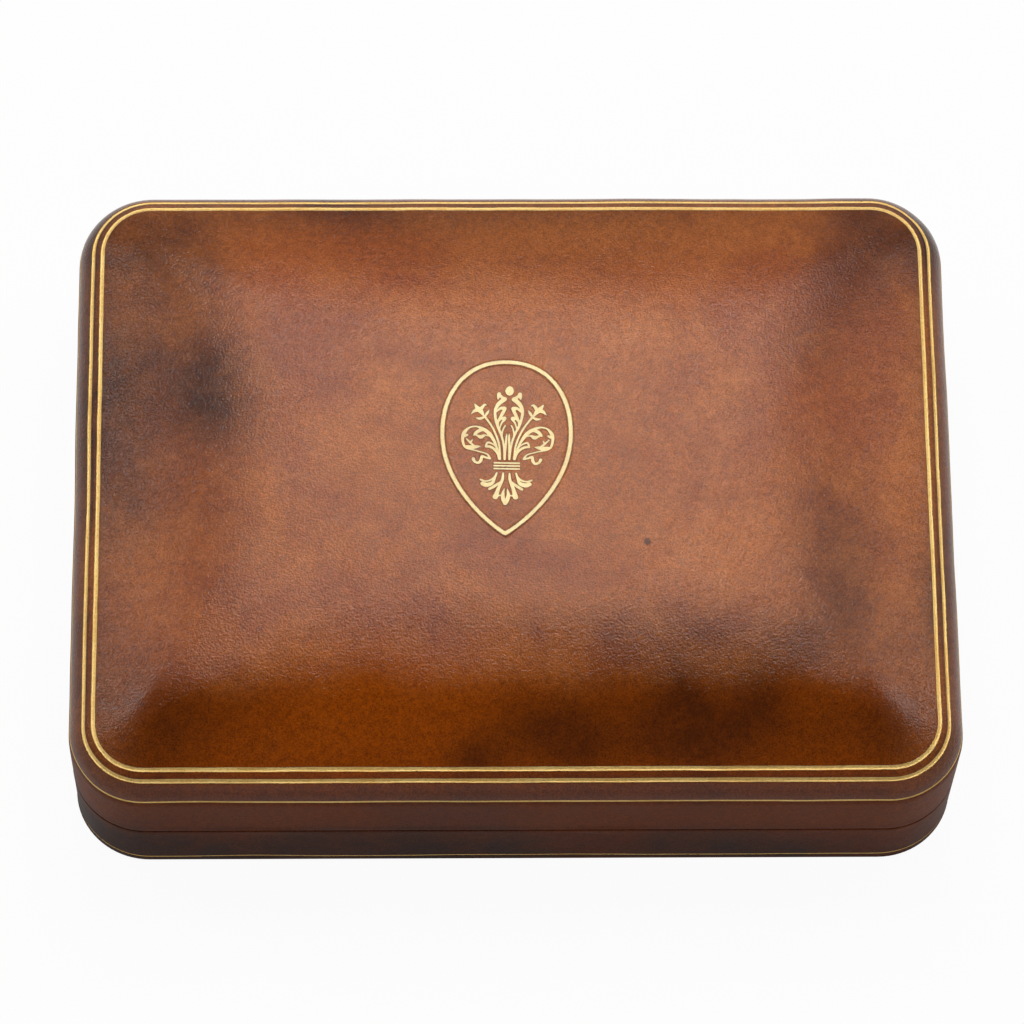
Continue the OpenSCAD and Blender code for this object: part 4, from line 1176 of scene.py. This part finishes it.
drop = drop_band("lid_drop", DROP_LINE_W, EMBLEM_LIFT, EMBLEM_T)
dress(drop, highlit_gold, "lid", ["lid_drop_frame"])
lily = lily_piece("lid_lily_leaf", 0.0, 0.12 * MM, EMBLEM_LIFT, EMBLEM_T)
dress(lily, highlit_gold, "lid", ["lid_lily"])


def shaded(obj):
    """Leather darkened beside the tooling: partly the burnt edge of the impression, partly painted shade along
    it.
    """
    across = np.zeros(len(obj.data.vertices), np.float32)
    obj.data.attributes["across"].data.foreach_get("value", across)
    paint_leather(obj, SHADE_STRENGTH * (1 - across ** 2))
    dress(obj, leather, "lid")


shaded(drop_band("lid_drop_shade", DROP_LINE_W + 0.8 * MM, SHADE_LIFT, SHADE_T))
shaded(lily_piece("lid_lily_shade", 0.16 * MM, 0.2 * MM, SHADE_LIFT, SHADE_T))

base_lining = lining_ring("base_lining", FLOOR_Z, BASE_RIM_Z - LINING_DROP, True)
dress(base_lining, suede, "base", ["base_side_lining"])
lid_lining = lining_ring("lid_lining", LID_RIM_Z + LINING_DROP, CEILING_Z, False)
dress(lid_lining, suede, "lid", ["lid_side_lining"])
base_cushion = cushion("base_cushion", FLOOR_Z, 1, 61)
dress(base_cushion, suede, "base", ["base_floor_pad"])
lid_cushion = cushion("lid_cushion", CEILING_Z, -1, 62)
dress(lid_cushion, suede, "lid", ["lid_ceiling_pad"])
padding = lid_wadding()
dress(padding, wadding, "lid", ["lid_wadding"])

for name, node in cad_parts.items():
    if name.startswith("hinge_"):
        dress(node, brass)
    elif name == "base_underside_sheet":
        dress(node, underside_suede)
    elif name.endswith(("_rail", "_keys", "_panel", "_board")):
        dress(node, wood)


# Camera, where the photograph was taken from
CAMERA_TURN = math.radians(-3.0)
CAMERA_LIFT = math.radians(66.58)
CAMERA_ROLL = math.radians(2.62)
CAMERA_FAR = 1.291
CAMERA_AIM = Vector((0.0004, 0.0118, 0.0))
SENSOR_W = 36.0
CAMERA_LENS = 193.3


def make_camera():
    back = Vector((
        math.sin(CAMERA_TURN) * math.cos(CAMERA_LIFT),
        -math.cos(CAMERA_TURN) * math.cos(CAMERA_LIFT),
        math.sin(CAMERA_LIFT)))
    right = Vector((math.cos(CAMERA_TURN), math.sin(CAMERA_TURN), 0))
    up = back.cross(right)
    c, s = math.cos(CAMERA_ROLL), math.sin(CAMERA_ROLL)
    axes = [right * c + up * s, up * c - right * s, back]
    data = bpy.data.cameras.new("camera")
    data.sensor_width = SENSOR_W
    data.lens = CAMERA_LENS
    data.clip_start = 0.05
    data.clip_end = 50
    place = Matrix.Translation(CAMERA_AIM + back * CAMERA_FAR) @ Matrix(axes).transposed().to_4x4()
    bpy.context.scene.camera = placed("camera", data, place)


def softbox(name, side, back, far, size, glow):
    """A softbox aimed at the lid, at angles from straight above it to the side and to the back."""
    way = Vector((math.tan(math.radians(side)), math.tan(math.radians(back)), 1)).normalized()
    data = bpy.data.lights.new(name, "AREA")
    data.shape = "RECTANGLE"
    data.size, data.size_y = size
    data.energy = glow * math.pi * size[0] * size[1]
    turn = way.to_track_quat("Z", "Y").to_matrix().to_4x4()
    placed(name, data, Matrix.Translation(LIGHT_AIM + way * far) @ turn)


def white_stage(obj, shown, mirrored):
    """Pale matt material; shown and mirrored are the shares of plain white that camera and reflections see."""
    m = Material(obj.name)
    tone = m.mix(m.noise(3, 3, 0.5), (0.88, 0.88, 0.88), (0.92, 0.92, 0.92))
    m.set(Base_Color=tone, Roughness=0.9, Specular_IOR_Level=0.1)
    glow = m.add("ShaderNodeEmission", {"Strength": 1.0}).outputs[0]
    path = m.add("ShaderNodeLightPath").outputs
    mirror = m.math("MAXIMUM", path["Is Glossy Ray"], path["Is Transmission Ray"])
    share = m.sum((path["Is Camera Ray"], shown), (mirror, mirrored))
    both = m.add("ShaderNodeMixShader", {0: share, 1: m.shader.outputs[0], 2: glow})
    m.put(m.output.inputs["Surface"], both.outputs[0])
    obj.data.materials.append(m.material)


def make_stage():
    """A floor, and a low round wall far behind it."""
    made = bmesh.new()
    bmesh.ops.create_grid(made, x_segments=8, y_segments=8, size=FLOOR_REACH)
    mesh = bpy.data.meshes.new("floor")
    made.to_mesh(mesh)
    made.free()
    mesh.transform(Matrix.Translation((0, 0, -FLOOR_DROP)))
    white_stage(placed("floor", mesh), 0.95, 0.3)
    n = 96
    turns = np.arange(n) / n * 2 * math.pi
    x, y = WALL_R * np.cos(turns), WALL_R * np.sin(turns)
    rings = [np.stack([x, y, np.full(n, z)], 1) for z in (-0.01, WALL_H)]
    white_stage(new_piece("backdrop", np.concatenate(rings), ring_faces(0, n, n)), 1.0, 0.8)


def make_world():
    """Even light from all round, darker straight above."""
    world = bpy.data.worlds.new("studio")
    world.use_nodes = True
    tree = world.node_tree
    background = tree.nodes["Background"]
    background.inputs["Color"].default_value = (1, 1, 1, 1)
    way = tree.nodes.new("ShaderNodeTexCoord")
    parts = tree.nodes.new("ShaderNodeSeparateXYZ")
    tree.links.new(way.outputs["Generated"], parts.inputs[0])
    fade = tree.nodes.new("ShaderNodeMapRange")
    tree.links.new(parts.outputs["Z"], fade.inputs["Value"])
    ends = {"From Min": 0.88, "From Max": 0.97, "To Min": WORLD_GLOW, "To Max": CEILING_GLOW}
    for key, value in ends.items():
        fade.inputs[key].default_value = value
    tree.links.new(fade.outputs["Result"], background.inputs["Strength"])
    bpy.context.scene.world = world


LIGHT_AIM = Vector((0, 0, 0.05))
FLOOR_REACH = 6.0
FLOOR_DROP = 0.02 * MM
WALL_R = 5.0
WALL_H = 2.0
WORLD_GLOW = 0.27
CEILING_GLOW = 0.06
make_camera()
make_stage()
make_world()
# Four softboxes overhead and behind, and one low on each side: angles, distance, size and radiance
softbox("softbox_back_left", -7.8, 36.5, 1.08, (0.17, 0.23), 12.0)
softbox("softbox_back_right", 10.2, 36.0, 1.08, (0.17, 0.23), 12.0)
softbox("softbox_top_left", -7.8, 16.0, 1.08, (0.17, 0.21), 12.2)
softbox("softbox_top_right", 10.4, 16.5, 1.08, (0.17, 0.21), 12.2)
softbox("softbox_side_left", -44.0, 28.0, 1.10, (0.30, 0.40), 4.3)
softbox("softbox_side_right", 43.5, 24.0, 1.10, (0.30, 0.40), 4.1)

bpy.context.scene.view_settings.view_transform = "Standard"
